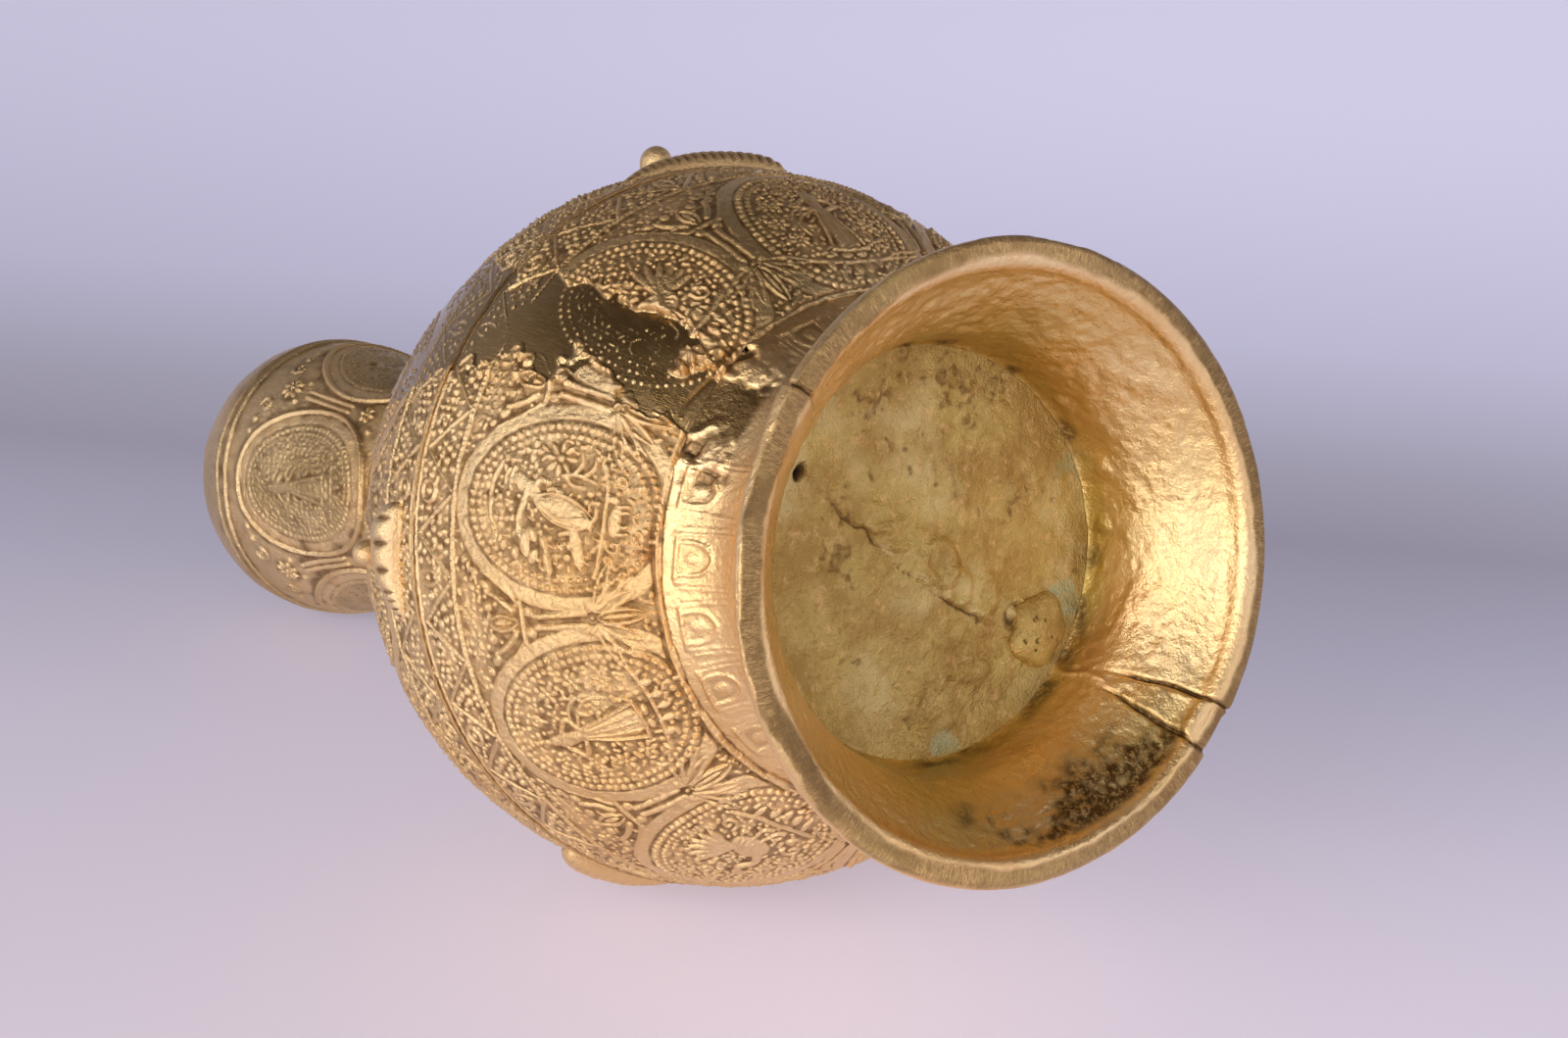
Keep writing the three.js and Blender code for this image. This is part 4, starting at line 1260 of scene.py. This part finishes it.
def plate_patina(finish):
    """The base plate: brown and olive patina over rough bronze, with rust spots, a turquoise bloom, and
    painted shade in its hollows, its crack and its hole.
    """
    r = Recipe("base plate patina")
    dirt_and_shade, hole, stain, pale = (r.field(name) for name in FIELDS)
    color = r.patch(finish.brown_olive, finish.olive, r.noise(85, 6, 0.65), 0.38, 0.62)
    color = r.patch(color, finish.pale_olive, r.noise(38, 5, 0.6), 0.48, 0.66, 0.85)
    color = r.patch(color, finish.gilt, r.noise(480, 5, 0.7), 0.5, 0.7, 0.55)
    color = r.patch(color, finish.brown_olive, r.noise(260, 5, 0.7), 0.55, 0.75, 0.6)
    color = r.patch(color, finish.pale_olive, pale, 0.1, 1, 0.7)
    fine = r.limit(r.noise(800, 5, 0.65), 0.35, 0.65, 0.3, 1)
    color = r.mix(r.times(r.limit(stain, 0.1, 0.9, 0, 0.7), fine), color, finish.turquoise)
    color = r.mix(r.times(r.limit(stain, -0.05, -0.8, 0, 0.75), fine), color, finish.spot)
    # Dirt and painted shade darken the plate's hollows and its crack.
    color = r.patch(color, finish.dirt_and_shade, dirt_and_shade, 0.3, 1, 0.8)
    # Painted shade: the hole is painted near black, though it is only a shallow dip.
    color = r.mix(hole, color, finish.hole)
    normal = r.bump(r.noise(420, 5, 0.7), 0.6, 0.0012)
    normal = r.bump(r.noise(2200, 3, 0.65), 0.7, 0.0004, normal)
    rough = r.limit(r.noise(150, 5), 0.3, 0.7, 0.28, 0.46)
    return r.finish(color, rough, normal, 0.9)


# Sizes and colours that a user would change


def paint(name, description, *color):
    return bpy.props.FloatVectorProperty(name=name, description=description, subtype="COLOR", size=4,
                                         min=0, max=1, default=(*color, 1))


class VaseFinish(bpy.types.PropertyGroup):
    """Colours and polish of the bronze."""

    gilt: paint("Gilt", "Main colour of the gilt bronze", 0.9, 0.6, 0.26)
    pale_gilt: paint("Pale gilt", "Colour of the paler patches", 0.97, 0.71, 0.37)
    red_gilt: paint("Red gilt", "Colour where copper shows through", 0.78, 0.43, 0.17)
    # Colour of dirt and painted shade, laid in every hollow.
    dirt_and_shade: paint("Recess", "Grime in the recesses", 0.2, 0.1, 0.033)
    ground: paint("Ground strip", "Bronze where the relief was ground off", 0.34, 0.22, 0.09)
    # This colour also lays painted shade on the head towards its mouth.
    tarnish_and_shade: paint("Tarnish", "Browner bronze of the head's medallions and the upper side", 0.44, 0.3, 0.12)
    filed: paint("Filed rim", "Bare filed bronze of the rim", 0.84, 0.56, 0.23)
    dark_filed: paint("Filed rim, dark", "File marks in the rim", 0.3, 0.17, 0.06)
    # Also used for the painted shade where the foot's wall meets the plate.
    soot: paint("Soot", "Dark crust inside the foot", 0.12, 0.066, 0.02)
    rust: paint("Rust", "Orange crust inside the foot", 0.42, 0.17, 0.035)
    olive: paint("Olive", "Main patina of the base plate", 0.62, 0.46, 0.15)
    pale_olive: paint("Pale olive", "Paler patina", 0.78, 0.64, 0.3)
    brown_olive: paint("Brown olive", "Browner patina", 0.48, 0.31, 0.09)
    turquoise: paint("Turquoise", "Copper bloom", 0.46, 0.56, 0.36)
    spot: paint("Spots", "Rust spots", 0.16, 0.065, 0.02)
    # Painted shade of the hole through the plate, laid over a shallow dip.
    hole: paint("Hole", "Dark of the hole through the base plate", 0.02, 0.008, 0.01)
    polish: bpy.props.FloatProperty(name="Polish", description="Roughness of the rubbed bronze",
                                    default=0.25, min=0.05, max=1)


class VaseMesh(bpy.types.PropertyGroup):
    """How finely the skins are cut."""

    visible: bpy.props.FloatProperty(name="Fine spacing", description="Mesh spacing on the lower bowl",
                                     default=0.26, min=0.2, max=2)
    far: bpy.props.FloatProperty(name="Coarse spacing", description="Mesh spacing on the upper bowl and neck",
                                 default=0.39, min=0.2, max=2)


def shared(context, name, build):
    """A material, built the first time that it is asked for."""
    return bpy.data.materials.get(name) or build(context.scene.vase_finish)


def gilt_bronze(context):
    return shared(context, "gilt cast bronze", relief_bronze)


def inner_globe(low, high):
    """Points of the body's inner wall, from a high latitude down to a low one."""
    radius = GLOBE_RADIUS - WALL
    angles = np.radians(np.linspace(high, low, 4))
    return [(radius * math.cos(a), GLOBE_HEIGHT + radius * math.sin(a)) for a in angles]


# Latitudes between the bands that each bowl is cut into
LOWER_BANDS = (COLLAR_LATITUDE, -35, -23, -11.5, 0)
UPPER_BANDS = (0, 17, 34, 52, NECK_LATITUDE)


class VASE_OT_body(bpy.types.Operator):
    """Casts the two bowls of the body as bands that share one relief sheet"""

    bl_idname = "vase.body"
    bl_label = "Body bowls"

    def execute(self, context):
        sheet = body_sheet()
        material = gilt_bronze(context)
        mesh = context.scene.vase_mesh
        outline = globe_outline(COLLAR_LATITUDE - 1.7, NECK_LATITUDE + 1.4, GLOBE_RADIUS - SKIN_DEPTH)
        for node, edges, spacing in (("body_lower", LOWER_BANDS, mesh.visible),
                                     ("body_upper", UPPER_BANDS, mesh.far)):
            steps = round(2 * math.pi * GLOBE_RADIUS / spacing)
            for i, (low, high) in enumerate(zip(edges, edges[1:])):
                narrow = max(0.6, math.cos(math.radians(min(abs(low), abs(high)))))
                piece = turned_skin(f"{node}_band_{i + 1}", outline, sheet, globe_y(low), globe_y(high),
                                    spacing, round(steps * narrow), inner_globe(low, high))
                keep(piece, material, "gilt_bronze", node)
        return {"FINISHED"}


FOOT_GIRTH_RADIUS = 47  # where the foot's mesh is as fine round as it is along
# Radius and height of the points inside the foot's wall, where its outer and inner pieces meet
FOOT_CORE = ((49.6, 4.6), (44.6, 11), (40.2, 18), (WAIST_RADIUS - 1.4, WAIST_HEIGHT - 3))


class VASE_OT_foot(bpy.types.Operator):
    """Casts the foot with its collar of panels, its filed rim and its rough inside"""

    bl_idname = "vase.foot"
    bl_label = "Foot"

    def execute(self, context):
        outline = foot_outline()
        sheet = foot_sheet(outline)
        material = shared(context, "foot bronze", foot_bronze)
        middle = outline.marks[outline.height.argmin()] + 1.4
        steps = round(2 * math.pi * FOOT_GIRTH_RADIUS / SPACING)
        top = [(WAIST_RADIUS - 1, JOINT_HEIGHT - 6), (43.2, JOINT_HEIGHT - 0.5)]
        bottom = [(PLATE_RADIUS - 3, PLATE_HEIGHT + 2), (PLATE_RADIUS + 1, PLATE_HEIGHT + 1)]
        pieces = (("foot_outer_skin", 0, middle, [*FOOT_CORE, *top]),
                  ("foot_inner_skin", middle, outline.length, [*bottom, *FOOT_CORE[::-1]]))
        for name, start, end, back in pieces:
            piece = turned_skin(name, outline, sheet, start, end, SPACING, steps, back, -1)
            keep(piece, material, "gilt_bronze", "foot", "foot_split_tongue")
        return {"FINISHED"}


class VASE_OT_base(bpy.types.Operator):
    """Casts the base plate and the plug over its core hole"""

    bl_idname = "vase.base"
    bl_label = "Base plate"

    def execute(self, context):
        sheet = plate_sheet()
        material = shared(context, "base plate patina", plate_patina)
        keep(base_disc(sheet), material, "patina", "base_plate")
        keep(base_plug(), material, "patina", "base_plug")
        return {"FINISHED"}


def base_disc(sheet):
    """The plate: a disc turned from its rim to its centre, with its face pushed to the relief."""
    bm = bmesh.new()
    rings = round(PLATE_RADIUS / SPACING)
    outline = [(radius, PLATE_HEIGHT) for radius in np.linspace(0, PLATE_RADIUS, rings + 1)]
    back = PLATE_HEIGHT + PLATE_THICKNESS
    chain = [bm.verts.new((0, -radius * MM, height * MM)) for radius, height in
             (*outline, (PLATE_RADIUS, back), (0, back))]
    for a, b in zip(chain, chain[1:]):
        bm.edges.new((a, b))
    turn_full(bm, PLATE_STEPS)
    mesh = mesh_of("base_plate_face", bm)
    spots = read_points(mesh)
    face = spots[:, 2] < (PLATE_HEIGHT + 1) * MM
    x, y = spots[face, 0] / MM, spots[face, 1] / MM
    fade = ramp(PLATE_RADIUS - np.hypot(x, y), 1.5, 5)
    spots[face, 2] -= sheet.read(sheet.height, x, y) * fade * MM
    mesh.vertices.foreach_set("co", spots.ravel())
    store_fields(mesh, sheet, face, x, y)
    mesh.update()
    return place("base_plate_face", mesh)


def base_plug():
    """A domed lump of solder, uneven at its edge and pitted."""
    low, high = corners("base_plug")
    middle = (low + high) / 2
    radius = (high.x - low.x) / 2
    bm = bmesh.new()
    bmesh.ops.create_uvsphere(bm, u_segments=144, v_segments=96, radius=1)
    hollow = bm.verts.layers.float.new("dirt_and_shade")
    rng = np.random.default_rng(70)
    pits = [(u, v, rng.uniform(0.3, 0.6)) for u, v in rng.uniform(-0.6, 0.6, (9, 2)) * radius]
    for vert in bm.verts:
        turn = math.atan2(vert.co.y, vert.co.x)
        ragged = radius * (1 + 0.09 * math.sin(2 * turn + 1) + 0.06 * math.sin(5 * turn))
        x, y = vert.co.x * ragged, vert.co.y * ragged
        height = high.z + 0.3 + vert.co.z * (high.z - low.z + 0.4)
        pit = max(1 - math.hypot(x - u, y - v) / size for u, v, size in pits)
        # The pits are marked as hollows, which the material darkens with dirt and painted shade.
        vert[hollow] = max(0, min(1, 2 * pit))
        height = min(height, high.z + 0.6) + 0.5 * vert[hollow]
        vert.co = Vector((middle.x + x, middle.y + y, height)) * MM
    return closed_piece("base_plug_lump", bm)


# The bands of the neck and head: the radius that sets how finely each is cut, and then the radius and height
# of its inner wall, from its upper end down
NECK_BANDS = ((20, (19, 192), (13.5, 172), (12, 160), (14, NECK_START)),
              (HEAD_RADIUS, (24, 226), (20, 205), (17, 192)),
              (HEAD_RADIUS, (MOUTH_RADIUS, 262), (20, 256), (25, 243), (25, 226)))


class VASE_OT_neck(bpy.types.Operator):
    """Casts the neck, the head with its four medallions, and the mouth"""

    bl_idname = "vase.neck"
    bl_label = "Neck and head"

    def execute(self, context):
        outline = head_outline()
        sheet = head_sheet(outline)
        spacing = context.scene.vase_mesh.far
        edges = (0, outline.at_height(192), outline.at_height(226), outline.length)
        for i, (start, end, (widest, *inner)) in enumerate(zip(edges, edges[1:], NECK_BANDS)):
            steps = round(2 * math.pi * widest / spacing)
            piece = turned_skin(f"neck_band_{i + 1}", outline, sheet, start, end, spacing, steps, inner)
            keep(piece, gilt_bronze(context), "gilt_bronze", "neck")
        return {"FINISHED"}


class VASE_OT_seam(bpy.types.Operator):
    """Winds the thin wire over the seam between the bowls"""

    bl_idname = "vase.seam"
    bl_label = "Seam wire"

    def execute(self, context):
        keep(seam_wire(), gilt_bronze(context), "gilt_bronze", "seam_wire")
        return {"FINISHED"}


SEAM_STEPS = 1104  # round the wire's mesh
SEAM_SINK = 0.25  # how far the wire's middle lies below the body's radius
STRIP_MIDDLE = 29  # azimuth of the ground strip where the wire crosses it


def seam_wire():
    """A twisted wire round the body, ground off where the strip crosses it."""
    low, high = corners("seam_wire")
    ring = GLOBE_RADIUS - SEAM_SINK
    bm = bmesh.new()
    bmesh.ops.create_circle(bm, segments=10, radius=0.28 * (high.z - low.z) * MM)
    bmesh.ops.rotate(bm, verts=bm.verts[:], cent=(0, 0, 0), matrix=Matrix.Rotation(math.pi / 2, 3, "Y"))
    bmesh.ops.translate(bm, verts=bm.verts[:], vec=(0, -ring * MM, GLOBE_HEIGHT * MM))
    turn_full(bm, SEAM_STEPS)
    worn, hollow = (bm.verts.layers.float.new(label) for label in ("wear", "dirt_and_shade"))
    for vert in bm.verts:
        turn = math.atan2(vert.co.x, -vert.co.y)
        out = Vector((vert.co.x, vert.co.y, 0)).normalized()
        middle = (out * ring + Vector((0, 0, GLOBE_HEIGHT))) * MM
        side = math.atan2(vert.co.z - middle.z, vert.co.xy.length - ring * MM)
        lay = 0.82 + 0.14 * math.cos(2 * side + 180 * turn)
        lay += 0.1 * math.sin(7 * turn) * math.sin(3 * turn)
        ground = float(ramp(abs(math.degrees(turn) - STRIP_MIDDLE), 10, 8))
        vert.co = middle + (vert.co - middle) * lay - out * 0.4 * MM * ground
        vert.co.z += 0.35 * MM * math.sin(3 * turn) * math.sin(5 * turn + 1)
        vert[worn] = ground
        # The whole wire is marked part way into a hollow, so the material darkens it with dirt and painted
        # shade.
        vert[hollow] = 0.45
    return closed_piece("seam_wire_twist", bm)


def even(count):
    """Marks that split a length into equal parts."""
    return tuple(i / count for i in range(count + 1))


# Each lug: the marks between its ribs, the ribs' depth and how narrow they are, over what shares of it its
# tail and its blunt end rise, its height over the skin, and the size of its knob
LUGS = {
    "top": (even(20), 0.17, 1.3, 0.75, 0.16, 4.15, 1.2),
    "left": ((0, 0.06, 0.12, 0.19, 0.26, 0.44, 0.66, 0.87, 1), 0.26, 0.45, 0.7, 0.24, 3.75, 0.9),
    "bottom": (even(14), 0.05, 0.8, 0.5, 0.2, 3.3, 0.9),
    "right": ((0, 0.08, 0.17, 0.28, 0.46, 0.68, 0.88, 1), 0.22, 0.45, 0.6, 0.24, 3.65, 0.9),
}


LUG_HALF_WIDTH = 3.2
LUG_SAG = 2.2  # how far a lug's ends lie below its middle
LUG_SINK = 0.4  # how far a lug and a knob start below the body's radius
KNOB_SINK = 0.3
KNOB_RADIUS = 2.55
KNOB_MIDDLE = 2.5
KNOB_HALF_HEIGHT = 2.9
RIB_SIDE = 2.1  # how far round a lug's section its ribs lie, and how far they reach, in radians
RIB_REACH = 0.75


class VASE_OT_lugs(bpy.types.Operator):
    """Models the ribbed lugs on the shoulder and the knob above each"""

    bl_idname = "vase.lugs"
    bl_label = "Lugs and knobs"

    def execute(self, context):
        for number, (name, (*shape, size)) in enumerate(LUGS.items()):
            keep(lug(name, number, *shape), gilt_bronze(context), "gilt_bronze", f"lug_{name}")
            keep(knob(name, number, size), gilt_bronze(context), "gilt_bronze", f"knob_{name}")
        return {"FINISHED"}


def globe_point(azimuth, latitude, radius):
    """A point over the globe, in metres, from an azimuth and a latitude in radians."""
    flat, up = radius * math.cos(latitude), radius * math.sin(latitude)
    return Vector((flat * math.sin(azimuth), -flat * math.cos(azimuth), GLOBE_HEIGHT + up)) * MM


def lug(name, number, marks, depth, narrow, tail, blunt, top):
    """A ridge laid round the shoulder, with ribs between its crest and its flange on the foot's side."""
    low, high = corners(f"lug_{name}")
    middle = (low + high) / 2
    azimuth = math.atan2(middle.x, -middle.y)
    latitude = math.asin((middle.z - 1 - GLOBE_HEIGHT) / GLOBE_RADIUS)
    length = math.hypot(high.x - low.x, high.y - low.y)
    bm = bmesh.new()
    bmesh.ops.create_uvsphere(bm, u_segments=44, v_segments=240, radius=1)
    groove = bm.verts.layers.float.new("dirt_and_shade")
    lean = np.random.default_rng(60 + number).uniform(-1, 1, 2)
    for vert in bm.verts:
        t = math.asin(max(-1, min(1, vert.co.z))) / (math.pi / 2)
        share = (t + 1) / 2
        side = math.atan2(vert.co.y, vert.co.x)
        out = math.sin(side)
        rising = math.sin(math.pi / 2 * min(1, share / tail)) ** 0.7
        falling = 1 - min(1, (1 - share) / blunt)
        body = rising * math.sqrt(max(0, 1 - falling**2))
        between = np.interp(share, marks, range(len(marks))) % 1
        near = max(0, 1 - ((side - RIB_SIDE) / RIB_REACH) ** 2)
        cut = depth * (1 - abs(math.sin(math.pi * between)) ** narrow) * near
        lump = 1 + 0.04 * math.sin(5 * t + 4 * lean[0]) + 0.02 * math.sin(11 * t + 5 * lean[1])
        wide = LUG_HALF_WIDTH * max(body, 0.35 * min(1, 8 * share, 8 - 8 * share)) ** 0.7 * lump
        tall = top * body * (1 - cut) * (1 + 0.5 * (lump - 1))
        turn = azimuth + 0.5 * length * t / (GLOBE_RADIUS * math.cos(latitude))
        spread = math.cos(side) * (1 + 0.3 * max(0, 0.5 - out))
        up = latitude + (wide * spread - LUG_SAG * t * t) / GLOBE_RADIUS
        rise = tall * out**0.6 if out > 0 else 1.2 * out
        vert.co = globe_point(turn, up, GLOBE_RADIUS - LUG_SINK + rise)
        # The grooves between the ribs are marked as hollows, which the material darkens with dirt and painted
        # shade.
        vert[groove] = min(1, 6 * cut)
    return closed_piece(f"lug_{name}_ribbed", bm)


def knob(name, number, size):
    """A small round knob on a low collar."""
    low, high = corners(f"knob_{name}")
    middle = (low + high) / 2
    azimuth = math.atan2(middle.x, -middle.y)
    latitude = math.atan2(middle.z - GLOBE_HEIGHT, math.hypot(middle.x, middle.y))
    bm = bmesh.new()
    bmesh.ops.create_uvsphere(bm, u_segments=40, v_segments=28, radius=1)
    for vert in bm.verts:
        x, y, z = vert.co
        flare = 1 + 0.4 * max(0, -z) ** 2 + 0.04 * math.sin(3 * math.atan2(y, x) + number)
        turn = azimuth + size * KNOB_RADIUS * flare * x / GLOBE_RADIUS
        up = latitude + size * KNOB_RADIUS * flare * y / GLOBE_RADIUS
        rise = size * (KNOB_MIDDLE + KNOB_HALF_HEIGHT * z)
        vert.co = globe_point(turn, up, GLOBE_RADIUS - KNOB_SINK + rise)
    return closed_piece(f"knob_{name}_round", bm)


# Studio: the vase lies on its side in the photograph, so the floor is tilted under the standing vase

FLOOR_UP = Vector((0.909, -0.319, -0.266)).normalized()
CAMERA_PLACE = Vector((0.0027, -0.4458, -0.5877))
CAMERA_RIGHT = Vector((0.1255, 0.821, -0.556)).normalized()
CAMERA_UP = Vector((0.9917, -0.104, 0.0703)).normalized()
LENS = 101.25
SENSOR = 36
LAMP_TARGET = Vector((0, 0, 0.11))  # the body's middle, in metres
FLOOR_HALF = 4
FLOOR_GAP = 0.0002


class VASE_OT_stage(bpy.types.Operator):
    """Adds the floor, the soft lamps, the world and the camera"""

    bl_idname = "vase.stage"
    bl_label = "Studio"

    def execute(self, context):
        add_floor()
        add_lamps()
        add_world(context.scene)
        add_camera(context.scene)
        context.scene.view_settings.view_transform = "Standard"
        return {"FINISHED"}


def stage_axes():
    """The floor's right and forward directions as the camera sees them."""
    right = (CAMERA_RIGHT - CAMERA_RIGHT.dot(FLOOR_UP) * FLOOR_UP).normalized()
    return right, FLOOR_UP.cross(right).normalized()


def lowest_rest():
    """How far down the floor's upward axis the vase reaches, in metres."""
    return min(float((read_points(piece.data) @ np.array(FLOOR_UP)).min())
               for piece in bpy.context.scene.objects if piece.type == "MESH" and not piece.hide_render)


def add_floor():
    """A pale floor that is seen from above only, so it never hides the vase."""
    right, forward = stage_axes()
    bm = bmesh.new()
    bmesh.ops.create_grid(bm, x_segments=1, y_segments=1, size=FLOOR_HALF)
    turn = Matrix((right, forward, FLOOR_UP)).transposed()
    bmesh.ops.transform(bm, matrix=turn.to_4x4(), verts=bm.verts[:])
    bmesh.ops.translate(bm, verts=bm.verts[:], vec=FLOOR_UP * (lowest_rest() - FLOOR_GAP))
    for face in bm.faces:
        face.normal_update()
        if face.normal.dot(FLOOR_UP) < 0:
            face.normal_flip()
    floor = place("floor", mesh_of("floor", bm))
    floor.data.materials.append(floor_paper(right, forward))


def set_stops(node, *stops):
    """Gives a colour ramp its stops, each a position and a colour, from the first end to the last."""
    elements = node.color_ramp.elements
    for position, color in stops[1:-1]:
        elements.new(position).color = (*color, 1)
    for element, (position, color) in ((elements[0], stops[0]), (elements[-1], stops[-1])):
        element.position, element.color = position, (*color, 1)


def floor_paper(right, forward):
    """Pale paper with painted shade in a grey band, as if it bent up behind the vase, and painted light a
    little to the right; it glows with its own colour for camera and glossy rays, and can't be seen from
    below.
    """
    r = Recipe("pale paper")
    back = r.node("ShaderNodeVectorMath", {0: r.spot, 1: forward + 0.22 * right}, operation="DOT_PRODUCT")
    # Painted shade: the flat floor darkens in a band across its middle, as a backdrop bending up would.
    shade = r.node("ShaderNodeValToRGB", {"Fac": r.limit(back.outputs["Value"], -0.1, 0.6)})
    set_stops(shade, (0, (0.66, 0.6, 0.69)), (0.18, (0.57, 0.535, 0.65)), (0.33, (0.44, 0.425, 0.54)),
              (0.47, (0.325, 0.315, 0.405)), (0.56, (0.385, 0.375, 0.475)), (0.72, (0.54, 0.53, 0.7)),
              (1, (0.68, 0.665, 0.86)))
    along = r.node("ShaderNodeVectorMath", {0: r.spot, 1: right}, operation="DOT_PRODUCT").outputs["Value"]
    # Painted light: a little brighter to the right and darker to the left.
    light = r.limit(along, -0.3, 0.12, 0.94, 1.07)
    lit = r.node("ShaderNodeVectorMath", {0: shade.outputs["Color"], "Scale": light}, operation="SCALE")
    color = lit.outputs[0]
    r.finish(color, 0.8, r.bump(r.noise(60, 3), 0.02, 0.001), 0)
    # Painted light: the floor glows with its own colour to camera, glossy and transmission rays, though it is
    # no lamp.
    path = r.node("ShaderNodeLightPath")
    seen = r.maths("MAXIMUM", path.outputs["Is Camera Ray"], path.outputs["Is Glossy Ray"])
    seen = r.maths("MAXIMUM", seen, path.outputs["Is Transmission Ray"])
    r.set(r.shader, "Emission Color", color)
    r.set(r.shader, "Emission Strength", r.times(seen, 0.5))
    facing = r.node("ShaderNodeNewGeometry").outputs["Backfacing"]
    clear = r.node("ShaderNodeBsdfTransparent").outputs[0]
    both = r.node("ShaderNodeMixShader", {0: facing, 1: r.shader.outputs[0], 2: clear})
    r.tree.links.new(both.outputs[0], r.tree.nodes["Material Output"].inputs["Surface"])
    return r.material


def add_lamp(name, turn, height, distance, size, power, color):
    """A soft box that faces the body, turned to the right from behind the camera. Angles are in degrees."""
    right, forward = stage_axes()
    turn, height = math.radians(turn), math.radians(height)
    flat = right * math.sin(turn) - forward * math.cos(turn)
    data = bpy.data.lights.new(name, "AREA")
    data.shape = "RECTANGLE"
    data.size, data.size_y = size
    data.energy = power
    data.color = color
    lamp = bpy.data.objects.new(name, data)
    bpy.context.scene.collection.objects.link(lamp)
    lamp.location = LAMP_TARGET + distance * (flat * math.cos(height) + FLOOR_UP * math.sin(height))
    back = (lamp.location - LAMP_TARGET).normalized()
    side = FLOOR_UP.cross(back).normalized()
    lamp.rotation_euler = Matrix((side, back.cross(side), back)).transposed().to_euler()


def add_lamps():
    add_lamp("left soft box", turn=-36, height=19, distance=1.3, size=(1.05, 0.8), power=9.4,
             color=(1, 0.99, 0.98))
    add_lamp("right soft box", turn=75, height=22, distance=1.4, size=(0.5, 0.7), power=2.2,
             color=(0.96, 0.97, 1))


def add_world(scene):
    """A room that is pale near the floor, more so behind the camera, and dark overhead."""
    right, forward = stage_axes()
    world = bpy.data.worlds.new("studio room")
    scene.world = world
    world.use_nodes = True
    tree = world.node_tree
    direction = tree.nodes.new("ShaderNodeTexCoord").outputs["Generated"]

    def share(axis, low, high, start, end):
        dot = tree.nodes.new("ShaderNodeVectorMath")
        dot.operation = "DOT_PRODUCT"
        dot.inputs[1].default_value = axis
        tree.links.new(direction, dot.inputs[0])
        fit = tree.nodes.new("ShaderNodeMapRange")
        for key, value in (("From Min", low), ("From Max", high), ("To Min", start), ("To Max", end)):
            fit.inputs[key].default_value = value
        tree.links.new(dot.outputs["Value"], fit.inputs["Value"])
        return fit.outputs["Result"]

    shade = tree.nodes.new("ShaderNodeValToRGB")
    set_stops(shade, (0, (0.66, 0.63, 0.76)), (0.5, (0.66, 0.63, 0.76)), (0.7, (0.6, 0.57, 0.64)),
              (0.82, (0.3, 0.27, 0.28)), (0.9, (0.13, 0.105, 0.095)), (1, (0.13, 0.11, 0.1)))
    tree.links.new(share(FLOOR_UP, -1, 1, 0, 1), shade.inputs["Fac"])
    turn = math.radians(12)
    near = -forward * math.cos(turn) - right * math.sin(turn)
    tree.links.new(shade.outputs["Color"], tree.nodes["Background"].inputs["Color"])
    tree.links.new(share(near, -0.6, 0.7, 0.5, 1.32), tree.nodes["Background"].inputs["Strength"])


def add_camera(scene):
    data = bpy.data.cameras.new("camera")
    data.lens = LENS
    data.sensor_width = SENSOR
    camera = bpy.data.objects.new("camera", data)
    scene.collection.objects.link(camera)
    back = CAMERA_RIGHT.cross(CAMERA_UP)
    turn = Matrix((CAMERA_RIGHT, CAMERA_UP, back)).transposed().to_4x4()
    camera.matrix_world = Matrix.Translation(CAMERA_PLACE) @ turn
    scene.camera = camera


class VASE_PT_panel(bpy.types.Panel):
    """Lists the vase's pieces"""

    bl_idname = "VASE_PT_panel"
    bl_label = "Bronze vase"
    bl_space_type = "VIEW_3D"
    bl_region_type = "UI"
    bl_category = "Vase"

    def draw(self, context):
        for operator in PIECES:
            self.layout.operator(operator.bl_idname)
        for name in VaseFinish.__annotations__:
            self.layout.prop(context.scene.vase_finish, name)
        for name in VaseMesh.__annotations__:
            self.layout.prop(context.scene.vase_mesh, name)


PIECES = (VASE_OT_foot, VASE_OT_base, VASE_OT_body, VASE_OT_seam, VASE_OT_neck, VASE_OT_lugs, VASE_OT_stage)
CLASSES = (VaseFinish, VaseMesh, *PIECES, VASE_PT_panel)


def register():
    for each in CLASSES:
        bpy.utils.register_class(each)
    bpy.types.Scene.vase_finish = bpy.props.PointerProperty(type=VaseFinish)
    bpy.types.Scene.vase_mesh = bpy.props.PointerProperty(type=VaseMesh)


def unregister():
    del bpy.types.Scene.vase_mesh
    del bpy.types.Scene.vase_finish
    for each in reversed(CLASSES):
        bpy.utils.unregister_class(each)


def main():
    register()
    for operator in PIECES:
        group, name = operator.bl_idname.split(".")
        getattr(getattr(bpy.ops, group), name)()


if __name__ == "__main__":
    main()
